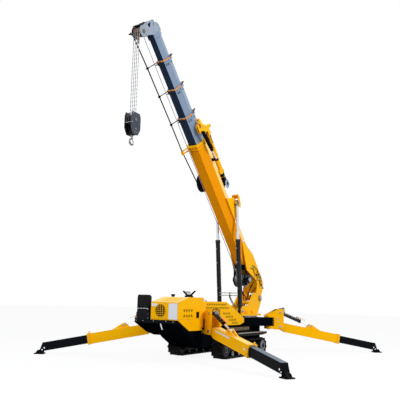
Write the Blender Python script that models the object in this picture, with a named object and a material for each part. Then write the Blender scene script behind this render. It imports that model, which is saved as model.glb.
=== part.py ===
"""A tracked spider crane: four hinged outriggers, a five-section telescopic boom and a four-fall hook.

Metres. Machine frame: +X towards the bonnet, +Y to the machine's left, +Z up, with the slew axis
at x = 0, y = 0 and the ground at z = 0. At the end the whole machine is shifted so that the origin
is the middle of its footprint, on the ground.
"""

import bpy
import bmesh
from math import atan2, cos, hypot, pi, radians, sin
from mathutils import Matrix, Vector

FIT = 0.0003          # gap between pieces that touch
SLIDE_GAP = 0.0006    # clearance of a guide on the piece that slides in it
RUN_GAP = 0.006       # clearance between pieces that move past each other

# Tracks
TRACK_REAR_X = 0.02
TRACK_LENGTH = 2.60
TRACK_HEIGHT = 0.455
TRACK_WIDTH = 0.35
TRACK_Y = 0.655
BELT_THICKNESS = 0.030
LUG_HEIGHT = 0.026
LUG_COUNT = 40
LUG_SHARE = 0.46
ROLLER_RADIUS = 0.062
ROLLER_COUNT = 5

# Chassis
DECK_TOP = 0.985
DECK_BOTTOM = 0.745
HULL_BOTTOM = 0.29
HULL_HALF_WIDTH = 0.40
HULL_TOP = 0.795
CROSS_BEAMS_X = (0.55, 2.10)
CROSS_BEAM_WIDTH = 0.20
RING_RADIUS = 0.45
POST_BOSS_RADIUS = 0.112

# Bonnet, covers, platform and seat
BONNET_FRONT_X = 4.325
BONNET_REAR_X = 3.20
BONNET_LEFT_Y = 0.603
BONNET_RIGHT_Y = -0.153
BONNET_TOP = 1.507
BONNET_BOTTOM = 0.976
SKIRT_THICKNESS = 0.03
COVER_Y = 0.44
COVER_THICKNESS = 0.025
PLATFORM_HALF_WIDTH = 0.603
STEP_LENGTH = 1.78
STEP_TOP = 0.615
STEP_DEPTH = 0.055
SEAT_Y = -0.395
SEAT_HALF_WIDTH = 0.19
SEAT_STAND = 0.174
CONSOLE = (3.30, 0.24, BONNET_TOP + FIT)

# Superstructure
TURNTABLE_BOTTOM = 1.038
TURNTABLE_PLATE = 0.05
CHEEK_Y = 0.236
CHEEK_THICKNESS = 0.024
BOOM_PIVOT = (-0.68, 1.557)
PIVOT_RADIUS = 0.05
HEEL_PLATE = 0.028
LUFF_FOOT = (0.73, 1.175)
LUFF_Y = 0.332
LUFF_EYE_WIDTH = 0.08
LUFF_EYE_RADIUS = 0.065
EYE_DRIFT = 0.018     # clearance over an eye that drifts from its pin at the ends of the travel
LUFF_BARREL_RADIUS = 0.064
LUFF_BARREL_LENGTH = 2.02
LUFF_ROD_RADIUS = 0.042
LUFF_ROD_LENGTH = 1.95
LUFF_LUG_Y = 0.262
STRAP_THICKNESS = 0.016

# Boom, in its own frame: a runs along it from the pivot, n is square to it, up and back
BOOM_ANGLE = 46.5
CENTRE_N = 0.31
BASE_REAR = 1.05
BASE_FRONT = 5.35
BASE_SECTION = (0.44, 0.56)
TUBE_WALL = 0.010
COLLAR_LENGTH = 0.10
COLLAR_PROUD = 0.022
STAGE_OVERLAP = 4.05
LUFF_HEAD = (3.12, 0.62)
# Each stage: width, depth, front end at rest
STAGES = [
    ("boom_stage_1", 0.375, 0.465, 6.16),
    ("boom_stage_2", 0.335, 0.420, 6.96),
    ("boom_stage_3", 0.295, 0.375, 7.73),
    ("boom_stage_4", 0.255, 0.330, 8.38),
]
HEAD_PLATE = 0.014
HOIST_SHEAVE = (8.60, -0.25)
SHEAVE_RADIUS = 0.11
GROOVE_DEPTH = 0.02
SHEAVE_PIN_RADIUS = 0.028
WINCH_CENTRE = (0.88, -0.18)
WINCH_HALF_WIDTH = 0.165
WINCH_PLATE = 0.015
WINCH_SHAFT_RADIUS = 0.03
WINCH_MOTOR_RADIUS = 0.095
DRUM_RADIUS = 0.15
DRUM_FLANGE_RADIUS = 0.21
REEL_CENTRE = (4.05, 0.30)
REEL_RADIUS = 0.26

# Hook block, hanging under the hoist sheaves
FALL_LENGTH = 2.01
ROPE_RADIUS = 0.009
FALL_SPACING = 0.054
HEAD_PLATE_Y = 2 * FALL_SPACING + RUN_GAP
BLOCK_WIDTH = 0.34
BLOCK_HEIGHT = 0.525
BLOCK_DEPTH = 0.20
BLOCK_CHEEK = 0.024

# Outriggers, in the frame of each swing post: X points out along the arm
POST_Y = 0.60
HINGE_REACH = 0.33
HINGE_HEIGHT = 0.72
LIFT_RISE = 0.42
CHEEK_GAP = 0.115
KNUCKLE_PLATE = 0.025
ARM_HALF_WIDTH = 0.10
ARM_HALF_HEIGHT = 0.125
ARM_WALL = 0.012
BEAM_HALF_WIDTH = 0.082
BEAM_HALF_HEIGHT = 0.105
BEAM_INSIDE = 0.45
TOE_HEIGHT = 0.15
LIFT_BARREL_RADIUS = 0.046
LIFT_ROD_RADIUS = 0.024
GUSSET_RISE = 0.20
PAD_SIZE = 0.22
PAD_THICKNESS = 0.02
# Each outrigger: name, post x, side, azimuth from +X, arm length, rod pin along the arm, beam shown, barrel
OUTRIGGERS = [
    ("front_left", 3.00, 1, 59.5, 1.70, 0.75, 1.26, 0.53),
    ("front_right", 3.00, -1, -59.5, 1.70, 0.75, 1.26, 0.53),
    ("rear_left", -0.62, 1, 130.5, 1.88, 0.95, 1.27, 0.70),
    ("rear_right", -0.62, -1, -130.5, 1.88, 0.95, 1.27, 0.70),
]

PAINTS = {
    "yellow": ("F0AE00", 0.38, 0.0),
    "orange": ("E08A00", 0.40, 0.0),
    "black": ("12161C", 0.45, 0.0),
    "dark_grey": ("2A2D31", 0.55, 0.0),
    "steel": ("9A9DA0", 0.35, 0.9),
    "chrome": ("D8DADC", 0.12, 1.0),
    "rubber": ("151515", 0.85, 0.0),
    "seat": ("16171A", 0.70, 0.0),
    "rope": ("6E7073", 0.50, 0.8),
}
AXES = {
    "X": lambda u, v, w: (w, u, v),
    "Y": lambda u, v, w: (u, w, v),
    "Z": lambda u, v, w: (u, v, w),
}


def clear_scene():
    for obj in list(bpy.data.objects):
        bpy.data.objects.remove(obj)


def paint(name):
    found = bpy.data.materials.get(name)
    if found:
        return found
    colour, roughness, metallic = PAINTS[name]
    made = bpy.data.materials.new(name)
    made.use_nodes = True
    shader = made.node_tree.nodes["Principled BSDF"]
    channels = [int(colour[i:i + 2], 16) / 255 for i in (0, 2, 4)]
    linear = [c / 12.92 if c <= 0.04045 else ((c + 0.055) / 1.055) ** 2.4 for c in channels]
    shader.inputs["Base Color"].default_value = (*linear, 1)
    shader.inputs["Roughness"].default_value = roughness
    shader.inputs["Metallic"].default_value = metallic
    return made


def empty(name, location, parent=None, turn=(0, 0, 0)):
    made = bpy.data.objects.new(name, None)
    bpy.context.scene.collection.objects.link(made)
    made.location = location
    made.rotation_euler = turn
    made.parent = parent
    return made


def piece_from(bm):
    """A helper object of the mesh, with its faces pointing out."""
    bmesh.ops.recalc_face_normals(bm, faces=bm.faces)
    mesh = bpy.data.meshes.new("piece")
    bm.to_mesh(mesh)
    bm.free()
    made = bpy.data.objects.new("piece", mesh)
    bpy.context.scene.collection.objects.link(made)
    return made


def prism(outline, low, high, along="Y"):
    """The outline's (u, v) points, swept from low to high along one axis."""
    bm = bmesh.new()
    ends = [[bm.verts.new(AXES[along](u, v, w)) for u, v in outline] for w in (low, high)]
    bm.faces.new(ends[0])
    bm.faces.new(ends[1])
    for i in range(len(outline)):
        j = (i + 1) % len(outline)
        bm.faces.new((ends[0][i], ends[0][j], ends[1][j], ends[1][i]))
    return piece_from(bm)


def box(low, high):
    corners = [(low[0], low[1]), (high[0], low[1]), (high[0], high[1]), (low[0], high[1])]
    return prism(corners, low[2], high[2], "Z")


def arc(centre, radius, start, end, steps):
    """Points of an arc, degrees."""
    turns = [radians(start + (end - start) * i / steps) for i in range(steps + 1)]
    return [(centre[0] + radius * cos(t), centre[1] + radius * sin(t)) for t in turns]


def circle(centre, radius, sides):
    return arc(centre, radius, 0, 360 - 360 / sides, sides - 1)


def disc(centre, radius, low, high, along="Y", sides=14):
    return prism(circle(centre, radius, sides), low, high, along)


def hole(centre, radius, low, high, along="Y", sides=14):
    """A cutter whose flats, not its corners, lie at the radius, so that a round pin turns in it."""
    return disc(centre, radius / cos(pi / sides), low, high, along, sides)


def rings_closed(rings):
    """A closed body with a hole through it: each ring of points joins the next, and the last the first."""
    bm = bmesh.new()
    rows = [[bm.verts.new(point) for point in ring] for ring in rings]
    for i, row in enumerate(rows):
        following = rows[(i + 1) % len(rows)]
        for j in range(len(row)):
            k = (j + 1) % len(row)
            bm.faces.new((row[j], row[k], following[k], following[j]))
    return piece_from(bm)


def lathe(profile, sides=12, along="X"):
    """The (s, r) profile turned about the axis. It starts and ends on the axis."""
    bm = bmesh.new()
    rows = []
    for s, r in profile:
        if r == 0:
            rows.append([bm.verts.new(AXES[along](0, 0, s))])
        else:
            rows.append([bm.verts.new(AXES[along](u, v, s)) for u, v in circle((0, 0), r, sides)])
    for row, following in zip(rows, rows[1:]):
        for j in range(sides):
            k = (j + 1) % sides
            corners = [row[j % len(row)], row[k % len(row)], following[k % len(following)],
                       following[j % len(following)]]
            bm.faces.new(list(dict.fromkeys(corners)))
    return piece_from(bm)


def moved(obj, matrix):
    obj.data.transform(matrix)
    return obj


def fused(add, cut=()):
    """One body: the first piece joined with the rest, less the cutters."""
    body = add[0]
    for operation, tools in (("UNION", add[1:]), ("DIFFERENCE", cut)):
        for tool in tools:
            modifier = body.modifiers.new("join", "BOOLEAN")
            modifier.operation = operation
            modifier.object = tool
    if body.modifiers:
        graph = bpy.context.evaluated_depsgraph_get()
        mesh = bpy.data.meshes.new_from_object(body.evaluated_get(graph))
        body.modifiers.clear()
        body.data = mesh
    for tool in [*add[1:], *cut]:
        bpy.data.objects.remove(tool)
    return body


def node(name, colour, parent, add, cut=(), origin=(0, 0, 0)):
    """A finished sub-part. Its pieces are made in its parent's frame, and its origin is put where given."""
    made = fused(add, cut)
    made.name = made.data.name = name
    made.data.transform(Matrix.Translation(-Vector(origin)))
    made.location = origin
    made.parent = parent
    made.data.materials.clear()
    made.data.materials.append(paint(colour))
    made.data.shade_smooth()
    made.data.set_sharp_from_angle(angle=radians(35))
    return made


def track_belt(name, side, parent):
    """The rubber track: one closed loop with its lugs in its outline."""
    radius = TRACK_HEIGHT / 2
    straight = TRACK_LENGTH - TRACK_HEIGHT
    rear, front = TRACK_REAR_X + radius, TRACK_REAR_X + radius + straight
    around = 2 * straight + 2 * pi * radius

    def at(distance, depth):
        """The point this far round the loop, this deep below the lugs' tips."""
        d = distance % around
        r = radius - depth
        if d < straight:
            return rear + d, radius - r
        d -= straight
        if d < pi * radius:
            turn = d / radius - pi / 2
            return front + r * cos(turn), radius + r * sin(turn)
        d -= pi * radius
        if d < straight:
            return front - d, radius + r
        turn = (d - straight) / radius + pi / 2
        return rear + r * cos(turn), radius + r * sin(turn)

    pitch = around / LUG_COUNT
    outer = []
    for i in range(LUG_COUNT):
        start = i * pitch
        tip = pitch * LUG_SHARE
        flank = LUG_HEIGHT * 0.35
        outer += [at(start, 0), at(start + tip, 0), at(start + tip + flank, LUG_HEIGHT),
                  at(start + pitch - flank, LUG_HEIGHT)]
    inner = [at(i * around / len(outer), LUG_HEIGHT + BELT_THICKNESS) for i in range(len(outer))]
    low, high = side * TRACK_Y - TRACK_WIDTH / 2, side * TRACK_Y + TRACK_WIDTH / 2
    rings = [[(x, y, z) for x, z in ring] for ring, y in
             ((outer, low), (outer, high), (inner, high), (inner, low))]
    node(name, "rubber", parent, [rings_closed(rings)])


def track_frame(name, side, parent):
    """Sprocket, idler, rollers and the beam that carries them, inside the track."""
    wheel = TRACK_HEIGHT / 2 - LUG_HEIGHT - BELT_THICKNESS - 2 * FIT
    middle = TRACK_HEIGHT / 2
    rear = TRACK_REAR_X + middle
    front = TRACK_REAR_X + TRACK_LENGTH - middle
    inner = side * (TRACK_Y - TRACK_WIDTH / 2 + 0.02)
    outer = side * (TRACK_Y + TRACK_WIDTH / 2 - 0.03)
    low, high = sorted((inner, outer))
    beam_low, beam_high = sorted((side * (HULL_HALF_WIDTH + FIT), side * (TRACK_Y + 0.10)))
    add = [prism([(rear, middle - 0.07), (front, middle - 0.07), (front, middle + 0.03),
                  (front - 0.35, middle + 0.10), (rear + 0.35, middle + 0.10), (rear, middle + 0.03)],
                 beam_low, beam_high)]
    for x in (rear, front):
        add.append(disc((x, middle), wheel, low, high, sides=20))
        add.append(disc((x, middle), 0.07, low - 0.015 if side < 0 else low, high + 0.015 if side > 0 else high,
                        sides=14))
    floor = LUG_HEIGHT + BELT_THICKNESS + 2 * FIT + ROLLER_RADIUS
    for i in range(ROLLER_COUNT):
        x = rear + (front - rear) * (i + 1) / (ROLLER_COUNT + 1)
        add.append(disc((x, floor), ROLLER_RADIUS, low, high, sides=10))
    top = TRACK_HEIGHT - LUG_HEIGHT - BELT_THICKNESS - 2 * FIT - 0.04
    add.append(disc(((rear + front) / 2, top), 0.04, low, high, sides=12))
    node(name, "dark_grey", parent, add)


def chassis(parent):
    """The hull between the tracks, the deck that carries the slew ring, and the four post bosses."""
    front_x, rear_x = OUTRIGGERS[0][1], OUTRIGGERS[2][1]
    hull = prism([(-0.42, 0.36), (-0.42, HULL_TOP), (3.55, HULL_TOP), (3.55, 0.56),
                  (3.05, HULL_BOTTOM), (-0.30, HULL_BOTTOM)], -HULL_HALF_WIDTH, HULL_HALF_WIDTH)
    r = POST_BOSS_RADIUS
    rear_deck = [(0.95, -0.40), (0.95, 0.40), (0.30, 0.42), (rear_x + 0.11, POST_Y + r)]
    rear_deck += arc((rear_x, POST_Y), r, 90, 205, 8)
    rear_deck += [(rear_x - 0.02, 0.34), (rear_x - 0.02, -0.34)]
    rear_deck += arc((rear_x, -POST_Y), r, 155, 270, 8)
    rear_deck += [(rear_x + 0.11, -POST_Y - r), (0.30, -0.42)]
    add = [hull, prism(rear_deck, DECK_BOTTOM, DECK_TOP, "Z")]
    for side in (-1, 1):
        strip = [(front_x - 0.20, side * 0.30), (front_x + 0.16, side * 0.30),
                 (front_x + r, side * (POST_Y - 0.08)), (front_x + r, side * POST_Y)]
        strip += arc((front_x, side * POST_Y), r, 0, side * 180, 10)[1:]
        add.append(prism(strip, DECK_BOTTOM, DECK_TOP, "Z"))
    front_deck = [(front_x - 0.20, -0.32), (front_x + 0.16, -0.32), (front_x + 0.16, 0.32),
                  (front_x - 0.20, 0.32)]
    add.append(prism(front_deck, DECK_BOTTOM - 0.1, DECK_TOP, "Z"))
    seat = COVER_Y - COVER_THICKNESS - FIT
    add.append(box((0.95, -seat, DECK_BOTTOM), (front_x, seat, DECK_TOP)))
    for x in CROSS_BEAMS_X:
        add.append(box((x - CROSS_BEAM_WIDTH / 2, -HULL_HALF_WIDTH, HULL_BOTTOM - 0.09),
                       (x + CROSS_BEAM_WIDTH / 2, HULL_HALF_WIDTH, HULL_BOTTOM + 0.05)))
    bores = [hole((x, side * POST_Y), 0.04 + SLIDE_GAP, DECK_BOTTOM - 0.1, DECK_TOP + 0.1, "Z", 12)
             for x in (front_x, rear_x) for side in (1, -1)]
    node("chassis", "black", parent, add, bores)


def slew_ring(parent):
    node("slew_ring", "dark_grey", parent,
         [disc((0, 0), RING_RADIUS, DECK_TOP + FIT, TURNTABLE_BOTTOM - SLIDE_GAP, "Z", 28)])


def bodywork(parent):
    """Bonnet, front platform with the seat and console, side covers and steps."""
    floor = HULL_TOP + FIT
    bonnet = [(BONNET_FRONT_X, BONNET_BOTTOM), (BONNET_FRONT_X, 1.381), (3.839, BONNET_TOP),
              (BONNET_REAR_X, BONNET_TOP), (BONNET_REAR_X, floor), (3.70, floor), (3.85, BONNET_BOTTOM)]
    node("bonnet", "yellow", parent, [prism(bonnet, BONNET_RIGHT_Y, BONNET_LEFT_Y)])
    top, slope = BONNET_BOTTOM - FIT, 2 * FIT
    skirt = [(3.85 + slope, top), (3.70 + slope, HULL_TOP), (3.26, HULL_TOP), (3.26, 0.73), (3.82, 0.73),
             (4.30, top)]
    inner = BONNET_LEFT_Y - SKIRT_THICKNESS
    node("bonnet_skirt", "yellow", parent, [prism(skirt, inner, BONNET_LEFT_Y)])
    under = [(BONNET_FRONT_X + 0.02, 0.90), (BONNET_FRONT_X + 0.02, top), (3.85 + slope, top),
             (3.70 + slope, HULL_TOP), (3.55 + FIT, HULL_TOP), (3.55 + FIT, 0.58), (3.86, 0.66)]
    node("platform", "black", parent, [prism(under, -PLATFORM_HALF_WIDTH, inner - FIT)])
    left, right = SEAT_Y + SEAT_HALF_WIDTH, SEAT_Y - SEAT_HALF_WIDTH
    outer, low = BONNET_FRONT_X, BONNET_BOTTOM + SEAT_STAND
    stand = box((outer - 0.43, right, BONNET_BOTTOM), (outer, left, low))
    cushion = prism([(outer - 0.51, low - 0.01), (outer - 0.53, low + 0.04), (outer - 0.49, low + 0.085),
                     (outer - 0.12, low + 0.065), (outer - 0.12, low - 0.01)], right + 0.01, left - 0.01)
    back = prism([(outer - 0.155, low + 0.05), (outer - 0.135, low + 0.35), (outer - 0.105, low + 0.395),
                  (outer - 0.035, low + 0.395), (outer - 0.005, low + 0.35), (outer, low + 0.07),
                  (outer - 0.035, low - 0.01), (outer - 0.145, low - 0.01)], right + 0.02, left - 0.02)
    node("seat", "seat", parent, [stand, cushion, back])
    x, y, z = CONSOLE
    console = prism([(y - 0.10, z), (y + 0.10, z), (y + 0.20, z + 0.145), (y + 0.15, z + 0.165),
                     (y + 0.04, z + 0.06), (y - 0.04, z + 0.06), (y - 0.15, z + 0.165), (y - 0.20, z + 0.145)],
                    x - 0.05, x + 0.05, "X")
    node("console", "black", parent, [console])
    cover = [(3.195, DECK_TOP + 0.01), (3.195, 1.414), (1.72, 1.414), (0.70, 0.975), (0.70, 0.86), (0.95, 0.80),
             (2.70, 0.80), (2.70, DECK_TOP + 0.01)]
    for side, name in ((1, "cover_left"), (-1, "cover_right")):
        y = sorted((side * (COVER_Y - COVER_THICKNESS), side * COVER_Y))
        node(name, "yellow", parent, [prism(cover, *y)])
    lid = prism([(3.195, 1.38), (3.195, 1.414), (1.70, 1.414), (1.04, 1.135), (1.04, 1.10), (1.72, 1.38)],
                -COVER_Y + COVER_THICKNESS + FIT, COVER_Y - COVER_THICKNESS - FIT)
    node("cover_lid", "yellow", parent, [lid])
    rear, front, low = TRACK_REAR_X, TRACK_REAR_X + STEP_LENGTH, STEP_TOP - STEP_DEPTH
    for side, name in ((1, "step_left"), (-1, "step_right")):
        y = sorted((side * (HULL_HALF_WIDTH + FIT), side * (TRACK_Y + TRACK_WIDTH / 2)))
        step = prism([(rear, low), (rear, STEP_TOP), (front, STEP_TOP), (front, low),
                      (front - 0.30, low - 0.03), (rear + 0.28, low - 0.03)], *y)
        node(name, "black", parent, [step])


def turntable(parent):
    """The slewing base: a plate on the ring, two cheeks for the boom and the luff cylinders' feet."""
    low, high = TURNTABLE_BOTTOM, TURNTABLE_BOTTOM + TURNTABLE_PLATE
    plan = [(0.79, -0.36), (0.79, 0.36), (0.74, 0.402), (-0.50, 0.402), (-0.66, 0.30), (-0.66, -0.30),
            (-0.50, -0.402), (0.74, -0.402)]
    add = [prism(plan, low, high, "Z")]
    x, z = BOOM_PIVOT
    cheek = [(0.66, high - 0.01), (0.66, 1.30), (0.10, 1.30), (0.03, 1.325), (-0.30, 1.67), (-0.34, 1.70)]
    cheek += arc((x, z), 0.165, 65, 190, 6)
    cheek += [(-0.56, high - 0.01)]
    for side in (1, -1):
        y = sorted((side * CHEEK_Y, side * (CHEEK_Y + CHEEK_THICKNESS)))
        add.append(prism(cheek, *y))
        inner = CHEEK_Y + CHEEK_THICKNESS
        foot = [(0.60, high - 0.01), (0.66, 1.25), (0.78, 1.25), (0.79, high - 0.01)]
        for near, far in ((CHEEK_Y, LUFF_Y - LUFF_EYE_WIDTH / 2 - RUN_GAP),
                          (LUFF_Y + LUFF_EYE_WIDTH / 2 + RUN_GAP, 0.402)):
            add.append(prism(foot, *sorted((side * near, side * far))))
        add.append(disc(LUFF_FOOT, 0.030, *sorted((side * inner, side * (LUFF_Y + 0.08)))))
        washer = BASE_SECTION[0] / 2 + HEEL_PLATE / 4 + SLIDE_GAP
        add.append(disc((x, z), 0.08, *sorted((side * washer, side * (CHEEK_Y + 0.01)))))
    add.append(disc((x, z), PIVOT_RADIUS, -CHEEK_Y - 0.06, CHEEK_Y + 0.06, sides=20))
    node("turntable", "yellow", parent, add)


def section(a, width, depth, grow=0.0):
    """One hexagonal ring of the boom: flat top and bottom, widest at half depth."""
    w, d = width / 2 + grow, depth / 2 + grow
    points = [(-0.62 * w, -d), (0.62 * w, -d), (w, 0), (0.62 * w, d), (-0.62 * w, d), (-w, 0)]
    return [(a, y, CENTRE_N + n) for y, n in points]


def boom_side(n):
    """Half the base section's width at this n, above its widest line."""
    width, depth = BASE_SECTION
    return width / 2 * (1 - 0.38 * (n - CENTRE_N) / (depth / 2))


def boom_tube(rear, front, width, depth, inside):
    """A boom section with a collar at its front, whose bore guides the section inside it."""
    wall = -TUBE_WALL
    collar = front - COLLAR_LENGTH
    guide = SLIDE_GAP
    return rings_closed([
        section(rear, width, depth),
        section(collar - 0.02, width, depth),
        section(collar, width, depth, COLLAR_PROUD),
        section(front, width, depth, COLLAR_PROUD),
        section(front, *inside, guide),
        section(collar, *inside, guide),
        section(collar - 0.02, width, depth, wall),
        section(rear, width, depth, wall),
    ])


def boom_base(parent):
    tube = boom_tube(BASE_REAR, BASE_FRONT, *BASE_SECTION, STAGES[0][1:3])
    low = CENTRE_N - BASE_SECTION[1] / 2
    high = CENTRE_N + BASE_SECTION[1] / 2
    heel = arc((0, 0), 0.13, 165, 300, 7)
    heel += [(0.21, -0.04), (0.30, 0.12), (0.36, 0.20), (0.45, 0.235), (0.62, 0.19), (0.90, 0.06), (1.12, -0.03),
             (1.30, low), (1.90, CENTRE_N - 0.05), (1.90, CENTRE_N + 0.05), (1.20, high), (0.50, 0.578),
             (0.22, 0.572), (0.11, 0.55), (-0.03, 0.37)]
    add = [tube]
    half = BASE_SECTION[0] / 2
    for side in (1, -1):
        outer = half + HEEL_PLATE / 4
        add.append(prism(heel, *sorted((side * (outer - HEEL_PLATE), side * outer))))
    back = [(0.11, 0.548), (0.22, 0.57), (0.50, 0.576), (1.20, high - 0.002), (1.20, high - 0.02),
            (0.50, 0.558), (0.22, 0.552), (0.13, 0.53)]
    add.append(prism(back, -half + 0.01, half - 0.01))
    add.append(disc((0, 0), 0.09, -half + 0.01, half - 0.01, sides=20))
    a, n = LUFF_HEAD
    lug = [(a - 0.42, CENTRE_N - 0.02), (a + 0.36, CENTRE_N - 0.02), (a + 0.12, n + 0.08), (a - 0.08, n + 0.10),
           (a - 0.20, n)]
    for side in (1, -1):
        add.append(prism(lug, *sorted((side * (half - 0.006), side * LUFF_LUG_Y))))
        boss = LUFF_Y - LUFF_EYE_WIDTH / 2 - 0.008
        add.append(disc(LUFF_HEAD, 0.062, *sorted((side * (half - 0.006), side * boss))))
        web = [(half - 0.012, CENTRE_N), (half, CENTRE_N), (half, n + 0.05), (0.12, n + 0.05), (0.12, high - 0.01)]
        for start in (a - 0.15, a + 0.10):
            add.append(prism([(side * y, z) for y, z in web], start, start + 0.03, "X"))
    add.append(box((a - 0.04, -half, n + 0.02), (a + 0.08, half, n + 0.07)))
    clear = LUFF_Y + LUFF_EYE_WIDTH / 2 + RUN_GAP
    over = n + LUFF_EYE_RADIUS + EYE_DRIFT
    strap = [(a + 0.19, over + 0.05), (a + 0.04, over + 0.05), (a - 0.12, n + 0.06), (a - 0.18, n - 0.01),
             (a - 0.12, n - 0.07), (a + 0.02, n - 0.02), (a + 0.19, n + 0.09)]
    for side in (1, -1):
        outer = clear + STRAP_THICKNESS
        add.append(prism(strap, *sorted((side * clear, side * outer))))
        across = sorted((side * (half - 0.03), side * (outer - 0.002)))
        add.append(box((a + 0.07, across[0], over), (a + 0.18, across[1], over + 0.048)))
    bore = hole((0, 0), PIVOT_RADIUS + SLIDE_GAP, -half - 0.1, half + 0.1, sides=20)
    node("boom_base", "yellow", parent, add, [bore])


def boom_stages(parents):
    """The four telescoping sections, each one guided by the collar of the one before."""
    front = BASE_FRONT
    for i, (name, width, depth, tip) in enumerate(STAGES):
        rear = front - STAGE_OVERLAP
        if i + 1 < len(STAGES):
            inside = STAGES[i + 1][1:3]
        else:
            inside = (width - 0.06, depth - 0.06)
        node(name, "black", parents[i], [boom_tube(rear, tip, width, depth, inside)], origin=(rear, 0, CENTRE_N))
        front = tip


def boom_head(parent):
    """The head: two side plates that carry the hoist sheaves below the section's end."""
    tip = STAGES[-1][3]
    a, n = HOIST_SHEAVE
    plate = [(tip + FIT, 0.14), (tip + FIT, 0.48), (8.70, 0.46), (8.86, 0.10), (8.84, -0.36)]
    plate += arc((a, n), 0.16, -30, -150, 5) + [(8.46, -0.12)]
    add = [prism(plate, *sorted((side * HEAD_PLATE_Y, side * (HEAD_PLATE_Y + HEAD_PLATE)))) for side in (1, -1)]
    add.append(box((tip + FIT, -HEAD_PLATE_Y - HEAD_PLATE, 0.16), (tip + 0.02, HEAD_PLATE_Y + HEAD_PLATE, 0.46)))
    add.append(prism([(8.70, 0.46), (8.72, 0.475), (8.88, 0.10), (8.86, -0.2), (8.85, -0.2), (8.86, 0.10)],
                     -HEAD_PLATE_Y - 0.005, HEAD_PLATE_Y + 0.005))
    add.append(disc((a, n), SHEAVE_PIN_RADIUS, -HEAD_PLATE_Y - 0.03, HEAD_PLATE_Y + 0.03))
    node("boom_head", "dark_grey", parent, add)


def fall_offsets():
    """Where the four falls hang, across the machine: one in each groove of the sheaves."""
    return [(i - 1.5) * FALL_SPACING for i in range(4)]


def head_sheaves(parent):
    a, n = HOIST_SHEAVE
    half = 2 * FALL_SPACING
    profile = [(-half, 0), (-half, SHEAVE_RADIUS)]
    for y in fall_offsets():
        bottom = SHEAVE_RADIUS - GROOVE_DEPTH
        profile += [(y - 0.4 * FALL_SPACING, SHEAVE_RADIUS), (y - 0.2 * FALL_SPACING, bottom),
                    (y + 0.2 * FALL_SPACING, bottom), (y + 0.4 * FALL_SPACING, SHEAVE_RADIUS)]
    wheel = lathe(profile + [(half, SHEAVE_RADIUS), (half, 0)], 16, "Y")
    moved(wheel, Matrix.Translation((a, 0, n)))
    node("head_sheaves", "steel", parent, [wheel],
         [disc((a, n), SHEAVE_PIN_RADIUS + FIT, -half - 0.1, half + 0.1)])


def winch(frame_parent, drum_parent):
    """The hoist winch under the boom's heel. The drum turns between its two side plates."""
    a, n = WINCH_CENTRE
    low = CENTRE_N - BASE_SECTION[1] / 2 - FIT
    inner, outer = WINCH_HALF_WIDTH, WINCH_HALF_WIDTH + WINCH_PLATE
    mount = (BASE_REAR + 0.04, BASE_REAR + 0.24)
    plate = [(a - 0.09, n + 0.09), (a - 0.11, n - 0.06), (a - 0.04, n - 0.13), (a + 0.08, n - 0.12),
             (mount[1], low - 0.02), (mount[1], low), (mount[0], low)]
    add = [prism(plate, *sorted((side * inner, side * outer))) for side in (1, -1)]
    add.append(box((mount[0], -outer, low - 0.02), (mount[1], outer, low)))
    add.append(disc((a, n), WINCH_MOTOR_RADIUS, outer - 0.005, outer + 0.10, sides=18))
    add.append(box((a - 0.02, outer + 0.01, n - 0.20), (a + 0.10, outer + 0.09, n)))
    add.append(disc((a, n), WINCH_SHAFT_RADIUS, -outer - 0.01, outer, sides=12))
    node("winch_frame", "black", frame_parent, add)
    hub = inner - SLIDE_GAP
    rim, flange = inner - 0.010, 0.015
    spool = lathe([(-hub, 0), (-hub, 0.05), (-rim, 0.05), (-rim, DRUM_FLANGE_RADIUS),
                   (flange - rim, DRUM_FLANGE_RADIUS), (flange - rim, DRUM_RADIUS), (rim - flange, DRUM_RADIUS),
                   (rim - flange, DRUM_FLANGE_RADIUS), (rim, DRUM_FLANGE_RADIUS), (rim, 0.05), (hub, 0.05),
                   (hub, 0)], 20, "Y")
    moved(spool, Matrix.Translation((a, 0, n)))
    bore = hole((a, n), WINCH_SHAFT_RADIUS + SLIDE_GAP, -0.3, 0.3, sides=12)
    node("winch_drum", "rope", drum_parent, [spool], [bore], origin=(a, 0, n))


def hose_reel(arm_parent, reel_parent):
    """The spring reel for the head's hose, on the far side of the base section."""
    a, n = REEL_CENTRE
    half = BASE_SECTION[0] / 2
    arm = [box((a - 0.10, -half - 0.045, n - 0.06), (a + 0.10, -half - FIT, n + 0.02)),
           disc((a, n), 0.025, -half - 0.14, -half - 0.03, sides=12)]
    node("reel_bracket", "black", arm_parent, arm)
    y0, y1 = -half - 0.13, -half - 0.052
    hub = -half - 0.045 - SLIDE_GAP
    wheel = lathe([(y0, 0), (y0, REEL_RADIUS), (y0 + 0.008, REEL_RADIUS), (y0 + 0.012, REEL_RADIUS - 0.06),
                   (y1 - 0.012, REEL_RADIUS - 0.06), (y1 - 0.008, REEL_RADIUS), (y1, REEL_RADIUS), (y1, 0.06),
                   (hub, 0.06), (hub, 0)], 20, "Y")
    moved(wheel, Matrix.Translation((a, 0, n)))
    bore = hole((a, n), 0.025 + SLIDE_GAP, -half - 0.3, -half, sides=12)
    node("hose_reel", "black", reel_parent, [wheel], [bore], origin=(a, (y0 + y1) / 2, n))


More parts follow.
